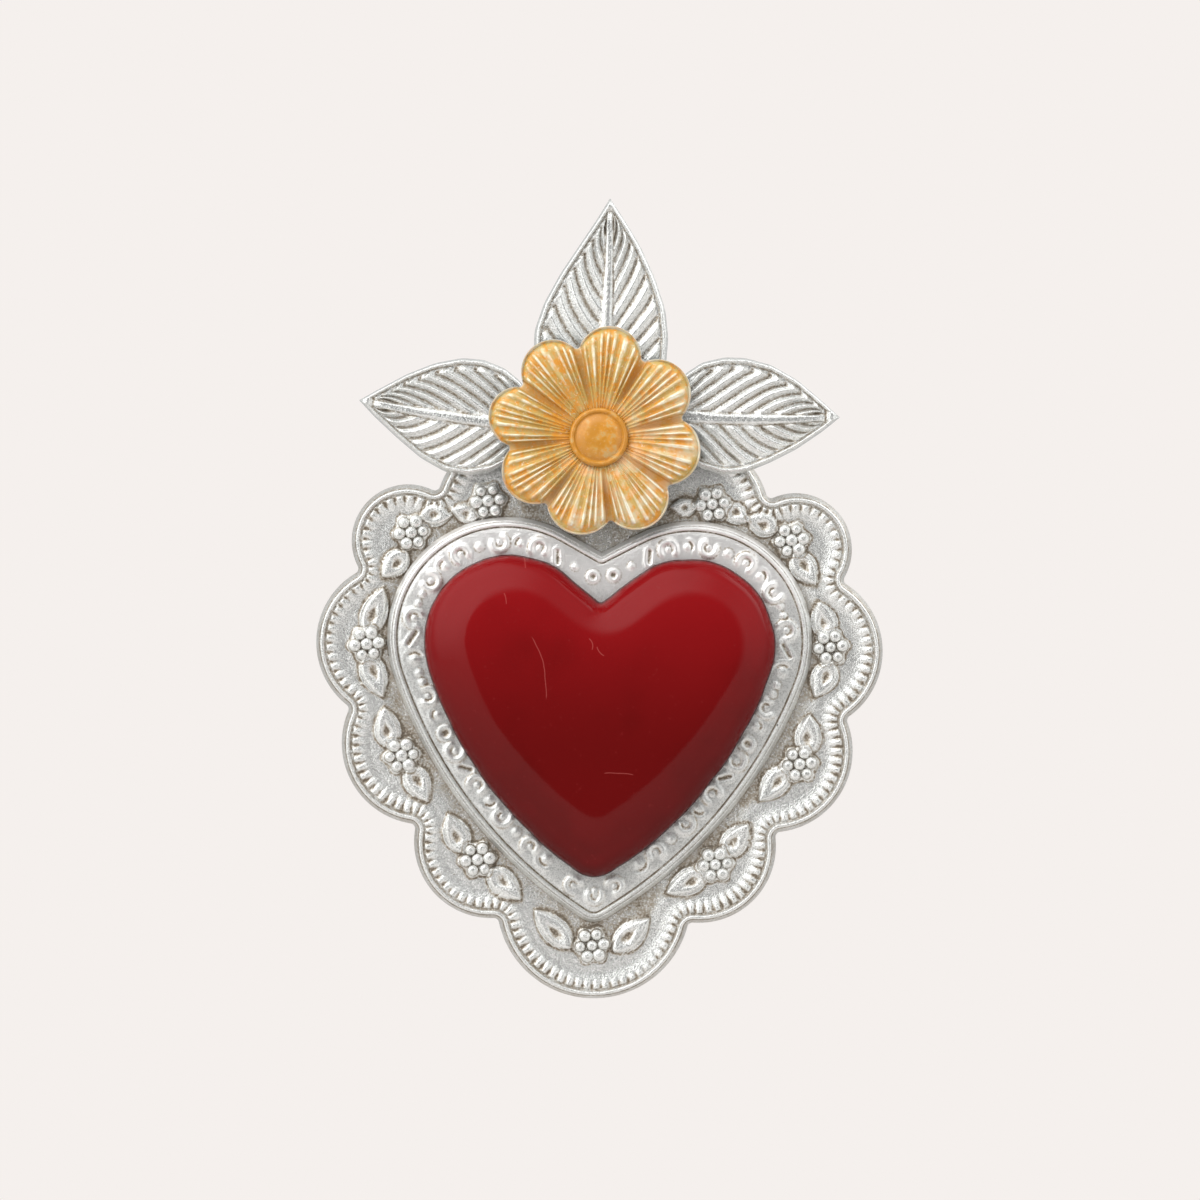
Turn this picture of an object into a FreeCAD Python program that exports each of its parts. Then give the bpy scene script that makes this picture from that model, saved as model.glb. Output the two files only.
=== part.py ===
import FreeCAD, Part
import math
import os
import Sketcher

# Hojalata ornament: a scalloped tin plate with a heart frame, an enamelled heart dome,
# three leaves, an eight-petal flower and a wire hanging ring at the back.
# Millimetres, +Z up, front towards -Y. The model is laid out on the wall plane around the
# datum in the middle of the plate, then moved so that the hanging point is the origin.

doc = FreeCAD.newDocument("tin_ornament")
sheet = doc.addObject("Spreadsheet::Sheet", "sizes")

# Driving dimensions
SIZES = [
    ("tin_gauge", 0.5),
    ("plate_width", 126.6),
    ("plate_depth", 5.0),
    ("plate_field_depth", 3.5),
    ("rim_width", 6.5),
    ("cusp_radius", 1.2),
    ("flute_pitch", 1.94),
    ("berry_radius", 1.0),
    ("berry_rise", 0.9),
    ("sprig_leaf_width", 3.4),
    ("sprig_leaf_rise", 0.8),
    ("frame_width", 90.9),
    ("frame_height", 86.0),
    ("frame_skirt", 1.9),
    ("frame_rise", 2.5),
    ("frame_seat_rise", 2.0),
    ("frame_band", 6.0),
    ("dome_width", 78.0),
    ("dome_height", 71.6),
    ("dome_rise", 8.5),
    ("dome_shoulder", 7.4),
    ("layer_gap", 0.3),
    ("leaf_rise", 2.4),
    ("leaf_rim", 2.6),
    ("leaf_rib", 2.4),
    ("top_leaf_length", 57.1),
    ("top_leaf_width", 29.6),
    ("top_leaf_base", 10.0),
    ("top_leaf_overlap", 7.0),
    ("top_leaf_shift", 1.8),
    ("side_leaf_length", 38.6),
    ("side_leaf_width", 26.0),
    ("side_leaf_base", 10.0),
    ("side_leaf_lift", 0.8),
    ("leaf_stagger", 1.5),
    ("leaf_spread", 15.0),
    ("flower_radius", 23.6),
    ("flower_drop", 3.2),
    ("flower_shift", 1.2),
    ("flower_clearance", 0.5),
    ("flower_rise", 3.8),
    ("petal_cusp_radius", 0.8),
    ("cap_radius", 6.5),
    ("cap_lip_width", 1.2),
    ("cap_lip_rise", 1.4),
    ("cap_crown_rise", 1.3),
    ("ring_wire", 1.2),
    ("ring_bore", 9.8),
    ("ring_gap", 0.3),
    ("rest_gap", 0.1),
    ("hinge_drop", 19.0),
    ("strap_width", 2.4),
    ("strap_gauge", 0.4),
    ("strap_foot", 3.0),
    ("solder_radius", 1.4),
    ("solder_height", 1.0),
    ("overrun", 2.0),
]
for row, (name, value) in enumerate(SIZES, 1):
    sheet.set("A%d" % row, name)
    sheet.set("B%d" % row, str(value))
    sheet.setAlias("B%d" % row, name)
doc.recompute()


def size(name):
    return float(sheet.get(name))


GAUGE = size("tin_gauge")

# Lobes of the plate from the bottom one up the right side: place across, place up and
# radius, as shares of the plate's width. The left side mirrors them.
BOTTOM_LOBE_SHARES = (0.0, -0.3736, 0.1714)
SIDE_LOBE_SHARES = [
    (0.1836, -0.2717, 0.1359),
    (0.3073, -0.1011, 0.1438),
    (0.3586, 0.0758, 0.1414),
    (0.3420, 0.2551, 0.0995),
    (0.1500, 0.3065, 0.1453),
]
TOP_LOBE_SHARES = (0.0, 0.3476, 0.1185)

# The rim's front from its edge: inset as a share of the rim's width, then the depth of
# flutes and of the grooves between them as shares of the plate's depth. The lines are the
# open edge, the bead's crest and the foot of the flutes. The back has plainer bends.
RIM_FRONT_SHARES = [(0.0, 0.0, 0.0), (0.26, 1.0, 1.0), (0.43, 0.94, 0.83)]
RIM_BACK_SHARES = [(0.08, 0.0), (0.27, 0.86), (0.45, 0.71)]
FLUTE_MIDDLE_SHARE = 0.68

# Sprigs on the plate's right side: the berries' middle, then the middle and the tip of
# each leaf, across and up, as shares of the plate's width. The left side mirrors them.
SIDE_SPRIG_SHARES = [
    [(0.1968, 0.3295), (0.2355, 0.3102), (0.2550, 0.3058)],
    [(0.3322, 0.2681), (0.2890, 0.2785), (0.2650, 0.2790), (0.3560, 0.2235), (0.3690, 0.2030)],
    [(0.4042, 0.0783), (0.3937, 0.1231), (0.3840, 0.1560), (0.3946, 0.0246), (0.3840, 0.0000)],
    [(0.3490, -0.1220), (0.3660, -0.0785), (0.3709, -0.0481), (0.3154, -0.1600), (0.2973, -0.1843)],
    [(0.2083, -0.3005), (0.2435, -0.2610), (0.2584, -0.2350), (0.1642, -0.3348), (0.1365, -0.3539)],
]
BOTTOM_SPRIG_SHARES = [(0.0, -0.4463), (0.0652, -0.4273), (0.0940, -0.4000),
                       (-0.0652, -0.4273), (-0.0940, -0.4000)]
# A berry's flat top as a share of its foot, and the leaf's hump as a share of its outline
BERRY_TOP_SHARE = 0.5
SPRIG_HUMP_SHARE = 0.45
BERRY_SIDES = 5

# Outline of a heart, as shares of its width: the lobe centre's place across and up, the
# lobe's radius, the notch's height, the side arc's radius and the tip's radius.
FRAME_OUTLINE_SHARES = (0.2261, 0.1249, 0.2739, 0.3157, 1.119, 0.033)
DOME_OUTLINE_SHARES = (0.2525, 0.1325, 0.2475, 0.2513, 1.10, 0.091)
# Where the tip lies below the datum, as a share of the heart's height
FRAME_TIP_SHARE = 0.579
DOME_TIP_SHARE = 0.578
NOTCH_RADIUS_SHARE = 0.012
# Steps along a heart's ring: each side arc, each lobe and the rounded tip
HEART_STEPS = (12, 15, 4)

# The dome from its edge to its crown: inset as a share of the shoulder, rise as a share of
# the dome's rise. The back has fewer bends.
DOME_FRONT_SHARES = [(0.0, 0.0), (0.05, 0.24), (0.20, 0.52), (0.52, 0.76), (1.0, 0.90), (2.0, 1.0)]
DOME_BACK_SHARES = [(0.0, 0.0), (0.05, 0.24), (0.52, 0.76), (2.0, 1.0)]

# Where a leaf is widest, as a share of its length, and its shoulder's radius, as a share of
# its width
TOP_LEAF_SHARES = (0.455, 0.54)
SIDE_LEAF_SHARES = (0.352, 0.73)
# The leaf's front from its edge: inset as a share of the rim's width, then the depth of
# veins and of the grooves between them as shares of the leaf's rise. The lines are the open
# edge, the bead, the hollow inside it, the veins' ends at the rim and at the midrib.
LEAF_RIM_SHARES = [(0.0, 0.0, 0.0), (0.35, 0.86, 0.86), (0.75, 0.62, 0.62), (1.0, 0.82, 0.64)]
LEAF_RIB_SHARES = (0.88, 0.66)
LEAF_BACK_SHARES = [(0.19, 0.0), (0.60, 0.42)]
# Steps along one side of a leaf: along the belly, round the shoulder and along the flank
LEAF_STEPS = (7, 2, 7)
# Height of a vein's foot on the midrib, from the height of its end at the rim: shares of
# that height and of its square
VEIN_SLOPE_SHARES = (0.3, 0.7)
RIB_TAPER_SHARE = 0.6
RIB_TOP_SHARE = 0.4

# Petals in order round the flower, against the clock: the direction in degrees from
# straight up, the tip's reach and the lobe's radius as shares of the flower's radius
PETAL_SHARES = [
    (6.4, 1.047, 0.300),
    (-36.1, 1.047, 0.300),
    (-76.8, 1.057, 0.285),
    (-119.0, 0.981, 0.315),
    (-165.8, 0.934, 0.325),
    (-213.1, 0.962, 0.315),
    (-260.5, 0.962, 0.325),
    (-308.5, 1.000, 0.320),
]
PETAL_STEPS = 16
PETAL_BACK_STEPS = 5
# The petals' front from the edge: share of the way in to the cap's seat, then the depths of
# ridges, grooves and the valleys between petals as shares of the flower's rise
PETAL_FRONT_SHARES = [
    (0.0, 0.60, 0.56, 0.30),
    (0.10, 0.92, 0.80, 0.32),
    (0.50, 1.0, 0.86, 0.36),
    (0.88, 0.66, 0.58, 0.44),
]
PETAL_EDGE_SHARE = 0.015
CAP_SEAT_SHARE = 0.50
CAP_SEAT_WIDTH_SHARE = 1.08
# Bends of the cap's crown: shares of the crown's radius and of its rise
CAP_CROWN_SHARES = [(0.7, 0.65), (0.3, 1.0)]


# Plane geometry: points are (across, up) pairs


def polar(centre, radius, angle):
    return (centre[0] + radius * math.cos(angle), centre[1] + radius * math.sin(angle))


def direction(start, end):
    return math.atan2(end[1] - start[1], end[0] - start[0])


def distance(start, end):
    return math.hypot(end[0] - start[0], end[1] - start[1])


def mirrored(point):
    return (-point[0],) + tuple(point[1:])


def between(start, end, share):
    return tuple(a + (b - a) * share for a, b in zip(start, end))


def at_depth(point, depth):
    return FreeCAD.Vector(point[0], -depth, point[1])


def scaled_pairs(pairs, length):
    return [(across * length, up * length) for across, up in pairs]


# Scalloped outline: circles joined by concave cusp fillets


def cusp_centre(lobe, other, cusp):
    # The point that lies outside both circles by the cusp's radius
    reach = lobe[2] + cusp
    other_reach = other[2] + cusp
    gap = distance(lobe, other)
    along = (gap ** 2 + reach ** 2 - other_reach ** 2) / (2 * gap)
    turn = math.acos(along / reach)
    return polar(lobe, reach, direction(lobe, other) - turn)


def scalloped_arcs(lobes, cusp, inset):
    # Each arc is (centre, radius, start, end), lobes and cusps in turn, against the clock
    cusps = [cusp_centre(lobe, lobes[(index + 1) % len(lobes)], cusp)
             for index, lobe in enumerate(lobes)]
    arcs = []
    for index, lobe in enumerate(lobes):
        after = cusps[index]
        start = direction(lobe, cusps[index - 1])
        end = direction(lobe, after)
        while end < start:
            end += 2 * math.pi
        arcs.append((lobe, lobe[2] - inset, start, end))
        start = direction(after, lobe)
        end = direction(after, lobes[(index + 1) % len(lobes)])
        while end > start:
            end -= 2 * math.pi
        arcs.append((after, cusp + inset, start, end))
    return arcs


def scalloped_ring(arcs, steps):
    # Points along the arcs, each arc in its own count of equal steps
    points = []
    for (centre, radius, start, end), count in zip(arcs, steps):
        points += [polar(centre, radius, start + (end - start) * step / count)
                   for step in range(count)]
    return points


# Heart outline: two lobes, two long side arcs, a rounded tip and a notch


def heart_sizes(width, height, outline_shares, tip_share):
    lobe_across, lobe_up, lobe_radius, notch_up, side_radius, tip_radius = [
        share * width for share in outline_shares]
    tip = (0, tip_radius - tip_share * height)
    lobe = (lobe_across, lobe_up)
    # The side arc holds the lobe and the tip inside it, touching both
    lobe_reach = side_radius - lobe_radius
    tip_reach = side_radius - tip_radius
    gap = distance(tip, lobe)
    along = (gap ** 2 + tip_reach ** 2 - lobe_reach ** 2) / (2 * gap)
    turn = math.acos(along / tip_reach)
    return {
        "lobe": lobe,
        "lobe_radius": lobe_radius,
        "notch_up": notch_up,
        "notch_radius": NOTCH_RADIUS_SHARE * width,
        "side": polar(tip, tip_reach, direction(tip, lobe) + turn),
        "side_radius": side_radius,
        "tip": tip,
        "tip_radius": tip_radius,
    }


def arc_points(centre, radius, start, end, steps):
    return [polar(centre, radius, start + (end - start) * step / steps) for step in range(steps)]


def heart_ring(heart, inset):
    lobe = heart["lobe"]
    side = heart["side"]
    lobe_radius = heart["lobe_radius"] - inset
    side_radius = heart["side_radius"] - inset
    tip_radius = max(heart["tip_radius"] - inset, heart["notch_radius"])
    tip = (0, side[1] - math.sqrt((side_radius - tip_radius) ** 2 - side[0] ** 2))
    notch = (0, heart["notch_up"] + heart["notch_radius"])
    reach = heart["lobe_radius"] + heart["notch_radius"]
    flank = direction(notch, lobe) - math.acos(reach / distance(notch, lobe))
    # Outside the outline the notch gets no sharper than a quarter of its own radius
    free_radius = heart["notch_radius"] + inset
    notch_radius = max(free_radius, heart["notch_radius"] / 4)
    notch = (0, notch[1] + (free_radius - notch_radius) / math.sin(flank))
    join = direction(side, lobe)
    tip_join = direction(side, tip)
    side_steps, lobe_steps, tip_steps = HEART_STEPS
    right = arc_points(side, side_radius, tip_join, join, side_steps)
    right += arc_points(lobe, lobe_radius, join, flank + math.pi, lobe_steps)
    right += [polar(lobe, lobe_radius, flank + math.pi), polar(notch, notch_radius, flank)]
    left = [mirrored(point) for point in reversed(right)]
    bottom = arc_points(tip, tip_radius, -math.pi - tip_join, tip_join, tip_steps)
    return right + [polar(notch, notch_radius, -math.pi / 2)] + left + bottom[1:]


# Leaf outline, pointing up from the middle of its blunt base


def leaf_sizes(kind, shares):
    length = size(kind + "_leaf_length")
    width = size(kind + "_leaf_width")
    return {
        "length": length,
        "half": width / 2,
        "base_half": size(kind + "_leaf_base") / 2,
        "widest": shares[0] * length,
        "shoulder_radius": shares[1] * width,
    }


def leaf_side(leaf, inset):
    # Points of the right side: the belly from the base's corner, the shoulder, the flank
    half, widest, base_half = leaf["half"], leaf["widest"], leaf["base_half"]
    belly_radius = ((half - base_half) ** 2 + widest ** 2) / (2 * (half - base_half))
    belly = (half - belly_radius, widest)
    shoulder = (half - leaf["shoulder_radius"], widest)
    tip = (0, leaf["length"])
    spread = math.acos(leaf["shoulder_radius"] / distance(shoulder, tip))
    flank = direction(shoulder, tip) - spread
    tip = (0, leaf["length"] - inset / math.sin(flank))
    base_turn = -math.asin((widest - inset) / (belly_radius - inset))
    shoulder_radius = leaf["shoulder_radius"] - inset
    belly_steps, shoulder_steps, flank_steps = LEAF_STEPS
    points = [polar(belly, belly_radius - inset, base_turn * (1 - step / belly_steps))
              for step in range(belly_steps)]
    points += [polar(shoulder, shoulder_radius, flank * step / shoulder_steps)
               for step in range(shoulder_steps)]
    flank_start = polar(shoulder, shoulder_radius, flank)
    points += [between(flank_start, tip, step / flank_steps) for step in range(flank_steps + 1)]
    return points


def both_sides(side):
    return side + [mirrored(point) for point in reversed(side[:-1])]


# Pressed tin: a bent sheet built from rings of points, joined by flat facets


def set_back(profile):
    # The back of a bent sheet: every stretch moves in by the gauge, with mitred bends
    normals = []
    for (inset, depth), (next_inset, next_depth) in zip(profile, profile[1:]):
        length = math.hypot(next_inset - inset, next_depth - depth)
        normals.append(((next_depth - depth) / length, (inset - next_inset) / length))
    normals.append((0, -1))
    back = []
    for index, (inset, depth) in enumerate(profile):
        after = normals[index]
        before = normals[index - 1] if index else after
        share = GAUGE / (1 + before[0] * after[0] + before[1] * after[1])
        back.append((inset + (before[0] + after[0]) * share, depth + (before[1] + after[1]) * share))
    # The first stretch meets the open edge's plane
    edge_depth = profile[0][1]
    (first_inset, first_depth), (inset, depth) = back[0], back[1]
    slope = (inset - first_inset) / (depth - first_depth)
    return [(first_inset + slope * (edge_depth - first_depth), edge_depth)] + back[1:]


def profile_of(shares, width, rise, base_depth):
    return [(inset * width, base_depth + depth * rise) for inset, depth in shares]


def ring_at(points, depths):
    return [at_depth(point, depth) for point, depth in zip(points, depths)]


def level_ring(points, depth):
    return [at_depth(point, depth) for point in points]


def facet(points):
    return Part.Face(Part.makePolygon(points + points[:1]))


def facet_with_holes(rings):
    return Part.makeFace([Part.makePolygon(ring + ring[:1]) for ring in rings],
                         "Part::FaceMakerBullseye")


def band_facets(outer, inner):
    # A flat stretch of the band is one facet, and a folded one is two
    facets = []
    for index in range(len(outer)):
        following = (index + 1) % len(outer)
        corners = [outer[index], outer[following], inner[following], inner[index]]
        normal = (corners[1] - corners[0]).cross(corners[2] - corners[0])
        lift = (corners[3] - corners[0]).dot(normal)
        if abs(lift) < normal.Length * Part.Precision.confusion():
            facets.append(facet(corners))
        else:
            facets.append(facet(corners[:3]))
            facets.append(facet([corners[0], corners[2], corners[3]]))
    return facets


def add_folded_sheet(name, front, back, bosses=()):
    # front and back are rings of points from the edge inwards, closed by flat middles.
    # Each boss is the rings of a small raised shape that stands on the front's middle.
    faces = [facet_with_holes([front[0], back[0]]), facet(back[-1]),
             facet_with_holes([front[-1]] + [boss[0] for boss in bosses])]
    for rings in [front, back] + list(bosses):
        for outer, inner in zip(rings, rings[1:]):
            faces += band_facets(outer, inner)
    faces += [facet(boss[-1]) for boss in bosses]
    shell = Part.makeShell(faces)
    shell.sewShape()
    solid = Part.makeSolid(shell)
    if solid.Volume < 0:
        solid.reverse()
    folded = doc.addObject("Part::Feature", name)
    folded.Shape = solid
    return folded


def add_pressing(name, heart, front_profile, back_profile):
    front = [level_ring(heart_ring(heart, inset), depth) for inset, depth in front_profile]
    back = [level_ring(heart_ring(heart, inset), depth) for inset, depth in set_back(back_profile)]
    return add_folded_sheet(name, front, back)


# Base plate: skirt, bead and flutes round a flat field with embossed sprigs


def plate_lobes():
    width = size("plate_width")
    right = [tuple(share * width for share in lobe) for lobe in SIDE_LOBE_SHARES]
    bottom = tuple(share * width for share in BOTTOM_LOBE_SHARES)
    top = tuple(share * width for share in TOP_LOBE_SHARES)
    return [bottom] + right + [top] + [mirrored(lobe) for lobe in reversed(right)]


PLATE_LOBES = plate_lobes()
TOP_LOBE = PLATE_LOBES[len(SIDE_LOBE_SHARES) + 1]
PLATE_TOP = TOP_LOBE[1] + TOP_LOBE[2]
RIM = size("rim_width")
FIELD_DEPTH = size("plate_field_depth")
PLATE_BACK_DEPTH = FIELD_DEPTH - GAUGE


def plate_arcs(inset):
    return scalloped_arcs(PLATE_LOBES, size("cusp_radius"), inset)


def flute_counts():
    # How many flutes fit on each arc of the rim
    return [max(1, round(abs(end - start) * radius / size("flute_pitch")))
            for _, radius, start, end in plate_arcs(RIM * FLUTE_MIDDLE_SHARE)]


def add_base_plate():
    counts = flute_counts()
    front = []
    for inset, flute, groove in RIM_FRONT_SHARES:
        points = scalloped_ring(plate_arcs(inset * RIM), [2 * count for count in counts])
        depths = [groove * size("plate_depth"), flute * size("plate_depth")] * sum(counts)
        front.append(ring_at(points, depths))
    field = scalloped_ring(plate_arcs(RIM), [2 * count for count in counts])
    front.append(level_ring(field, FIELD_DEPTH))
    back = []
    back_steps = [max(2, count // 3) for count in counts]
    for inset, depth in RIM_BACK_SHARES:
        points = scalloped_ring(plate_arcs(inset * RIM), back_steps)
        back.append(level_ring(points, depth * size("plate_depth")))
    points = scalloped_ring(plate_arcs(RIM), back_steps)
    back.append(level_ring(points, PLATE_BACK_DEPTH))
    return add_folded_sheet("base_plate", front, back, sprig_bosses())


def sprig_bosses():
    width = size("plate_width")
    sprigs = [scaled_pairs(sprig, width) for sprig in SIDE_SPRIG_SHARES]
    sprigs += [[mirrored(point) for point in sprig] for sprig in sprigs]
    sprigs.append(scaled_pairs(BOTTOM_SPRIG_SHARES, width))
    bosses = []
    for middle, *leaves in sprigs:
        bosses += berry_cluster(middle)
        for leaf_middle, leaf_tip in zip(leaves[::2], leaves[1::2]):
            bosses.append(sprig_leaf(leaf_middle, leaf_tip))
    return bosses


def berry_cluster(middle):
    radius = size("berry_radius")
    centres = [middle]
    # Neighbours stand a hair's breadth more than two radii apart
    spacing = 2 * radius + size("rest_gap")
    centres += [polar(middle, spacing, math.radians(60 * turn)) for turn in range(6)]
    return [berry(centre, radius) for centre in centres]


def berry(centre, radius):
    rings = []
    for share, rise in ((1, 0), (BERRY_TOP_SHARE, size("berry_rise"))):
        points = [polar(centre, radius * share, 2 * math.pi * side / BERRY_SIDES)
                  for side in range(BERRY_SIDES)]
        rings.append(level_ring(points, FIELD_DEPTH + rise))
    return rings


def sprig_leaf(middle, tip):
    heading = direction(middle, tip)
    reach = distance(middle, tip)
    half = size("sprig_leaf_width") / 2
    rings = []
    for share, rise in ((1, 0), (SPRIG_HUMP_SHARE, size("sprig_leaf_rise"))):
        corners = [tip, polar(middle, half, heading + math.pi / 2),
                   polar(middle, reach * BERRY_TOP_SHARE, heading + math.pi),
                   polar(middle, half, heading - math.pi / 2)]
        points = [between(middle, corner, share) for corner in corners]
        rings.append(level_ring(points, FIELD_DEPTH + rise))
    return rings


base_plate = add_base_plate()

# Heart frame, seated on the plate's field

FRAME = heart_sizes(size("frame_width"), size("frame_height"), FRAME_OUTLINE_SHARES, FRAME_TIP_SHARE)
SEAT_DEPTH = FIELD_DEPTH + size("frame_seat_rise")
frame_profile = [
    (-size("frame_skirt"), FIELD_DEPTH),
    (0, FIELD_DEPTH + size("frame_rise")),
    (GAUGE, SEAT_DEPTH - GAUGE / 2),
    (GAUGE * 2, SEAT_DEPTH),
]
frame_back = [frame_profile[0], frame_profile[1], frame_profile[3]]
heart_frame = add_pressing("heart_frame", FRAME, frame_profile, frame_back)

# Heart dome, seated on the frame's flat middle

DOME = heart_sizes(size("dome_width"), size("dome_height"), DOME_OUTLINE_SHARES, DOME_TIP_SHARE)
dome_front = profile_of(DOME_FRONT_SHARES, size("dome_shoulder"), size("dome_rise"), SEAT_DEPTH)
dome_back = profile_of(DOME_BACK_SHARES, size("dome_shoulder"), size("dome_rise"), SEAT_DEPTH)
heart_dome = add_pressing("heart_dome", DOME, dome_front, dome_back)

# Leaves with bead, veins and midrib, lying just over the plate's rim

LEAF_DEPTH = size("plate_depth") + size("layer_gap")
LEAF_TOP_DEPTH = LEAF_DEPTH + size("leaf_rise")
LEAF_BACK_DEPTH = LEAF_DEPTH + LEAF_BACK_SHARES[-1][1] * size("leaf_rise")


def rib_side(leaf, side, half_width):
    # The veins' feet along one side of the midrib
    start = (0, size("leaf_rim"))
    end = (0, side[-1][1] - size("leaf_rim"))
    linear, square = VEIN_SLOPE_SHARES
    points = []
    for _, up in side:
        share = up / side[-1][1]
        foot = between(start, end, share * (linear + square * share))
        points.append((half_width * (1 - RIB_TAPER_SHARE * share), foot[1]))
    points[0] = (half_width, start[1])
    points[-1] = end
    return points


def add_leaf(name, leaf):
    rise = size("leaf_rise")
    front = []
    for inset, vein, groove in LEAF_RIM_SHARES:
        side = leaf_side(leaf, inset * size("leaf_rim"))
        front.append(vein_ring(both_sides(side), LEAF_DEPTH + vein * rise, LEAF_DEPTH + groove * rise))
    half_rib = size("leaf_rib") / 2
    vein, groove = LEAF_RIB_SHARES
    points = both_sides(rib_side(leaf, side, half_rib))
    front.append(vein_ring(points, LEAF_DEPTH + vein * rise, LEAF_DEPTH + groove * rise))
    points = both_sides(rib_side(leaf, side, half_rib * RIB_TOP_SHARE))
    front.append(level_ring(points, LEAF_TOP_DEPTH))
    back = []
    for inset, depth in LEAF_BACK_SHARES:
        points = both_sides(leaf_side(leaf, inset * size("leaf_rim")))
        back.append(level_ring(points, LEAF_DEPTH + depth * rise))
    return add_folded_sheet(name, front, back)


def vein_ring(points, vein, groove):
    return ring_at(points, [vein if index % 2 else groove for index in range(len(points))])


TOP_LEAF = leaf_sizes("top", TOP_LEAF_SHARES)
SIDE_LEAF = leaf_sizes("side", SIDE_LEAF_SHARES)
SIDE_LEAF_UP = PLATE_TOP + size("side_leaf_lift")
# Each leaf's base, across and up, and its turn towards +X from straight up, in degrees
LEAF_PLACES = {
    "leaf_top": (TOP_LEAF, (-size("top_leaf_shift"), PLATE_TOP - size("top_leaf_overlap")), 1.9),
    "leaf_left": (SIDE_LEAF, (-size("leaf_spread") - size("flower_shift"),
                              SIDE_LEAF_UP - size("leaf_stagger")), -82.8),
    "leaf_right": (SIDE_LEAF, (size("leaf_spread") - size("flower_shift"),
                               SIDE_LEAF_UP + size("leaf_stagger")), 89.5),
}
leaves = {name: add_leaf(name, leaf) for name, (leaf, _, _) in LEAF_PLACES.items()}

# Flower, lying over the leaves: a lobed edge and fans of ridges that run in to the cap

FLOWER_CENTRE = (-size("flower_shift"), PLATE_TOP - size("flower_drop"))
FLOWER_DEPTH = LEAF_TOP_DEPTH + size("flower_clearance")
CAP_DEPTH = FLOWER_DEPTH + CAP_SEAT_SHARE * size("flower_rise")


def petal_lobe(turn, reach_share, radius_share):
    radius = radius_share * size("flower_radius")
    reach = reach_share * size("flower_radius") - radius
    return polar(FLOWER_CENTRE, reach, math.radians(90 - turn)) + (radius,)


PETALS = [petal_lobe(*petal) for petal in PETAL_SHARES]


def petal_ring(inset, steps):
    arcs = scalloped_arcs(PETALS, size("petal_cusp_radius"), inset)
    return scalloped_ring(arcs, [steps, 1] * len(PETALS))


def seat_ring(edge, steps):
    # The fans' feet on the cap's seat, evenly spaced between the petals' two valleys
    radius = size("cap_radius") * CAP_SEAT_WIDTH_SHARE
    points = []
    for first in range(0, len(edge), steps + 1):
        start = direction(FLOWER_CENTRE, edge[first])
        end = direction(FLOWER_CENTRE, edge[first + steps])
        while end < start:
            end += 2 * math.pi
        points += arc_points(FLOWER_CENTRE, radius, start, end, steps)
        points.append(polar(FLOWER_CENTRE, radius, end))
    return points


def petal_depths(ridge, groove, valley, steps):
    # Across a petal the ridges and grooves follow an arch from valley to valley
    depths = []
    for step in range(steps + 1):
        arch = math.sqrt(max(0, math.sin(math.pi * step / steps)))
        top = groove if step % 2 else ridge
        depths.append(FLOWER_DEPTH + (valley + (top - valley) * arch) * size("flower_rise"))
    return depths * len(PETALS)


def add_flower():
    edge = petal_ring(0, PETAL_STEPS)
    top_edge = petal_ring(PETAL_EDGE_SHARE * size("flower_radius"), PETAL_STEPS)
    back_edge = petal_ring(GAUGE, PETAL_BACK_STEPS)
    seat = seat_ring(edge, PETAL_STEPS)
    back_seat = seat_ring(back_edge, PETAL_BACK_STEPS)
    front = [level_ring(edge, FLOWER_DEPTH)]
    back = [level_ring(back_edge, FLOWER_DEPTH)]
    for share, ridge, groove, valley in PETAL_FRONT_SHARES:
        points = [between(start, end, share) for start, end in zip(top_edge, seat)]
        front.append(ring_at(points, petal_depths(ridge, groove, valley, PETAL_STEPS)))
        points = [between(start, end, share) for start, end in zip(back_edge, back_seat)]
        depths = petal_depths(groove, groove, valley, PETAL_BACK_STEPS)
        back.append(ring_at(points, [depth - GAUGE for depth in depths]))
    front.append(level_ring(seat, CAP_DEPTH))
    back.append(level_ring(back_seat, CAP_DEPTH - GAUGE))
    return add_folded_sheet("flower", front, back)


flower = add_flower()

# Flower cap: a crowned button inside a raised lip, turned about its own axis


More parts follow.
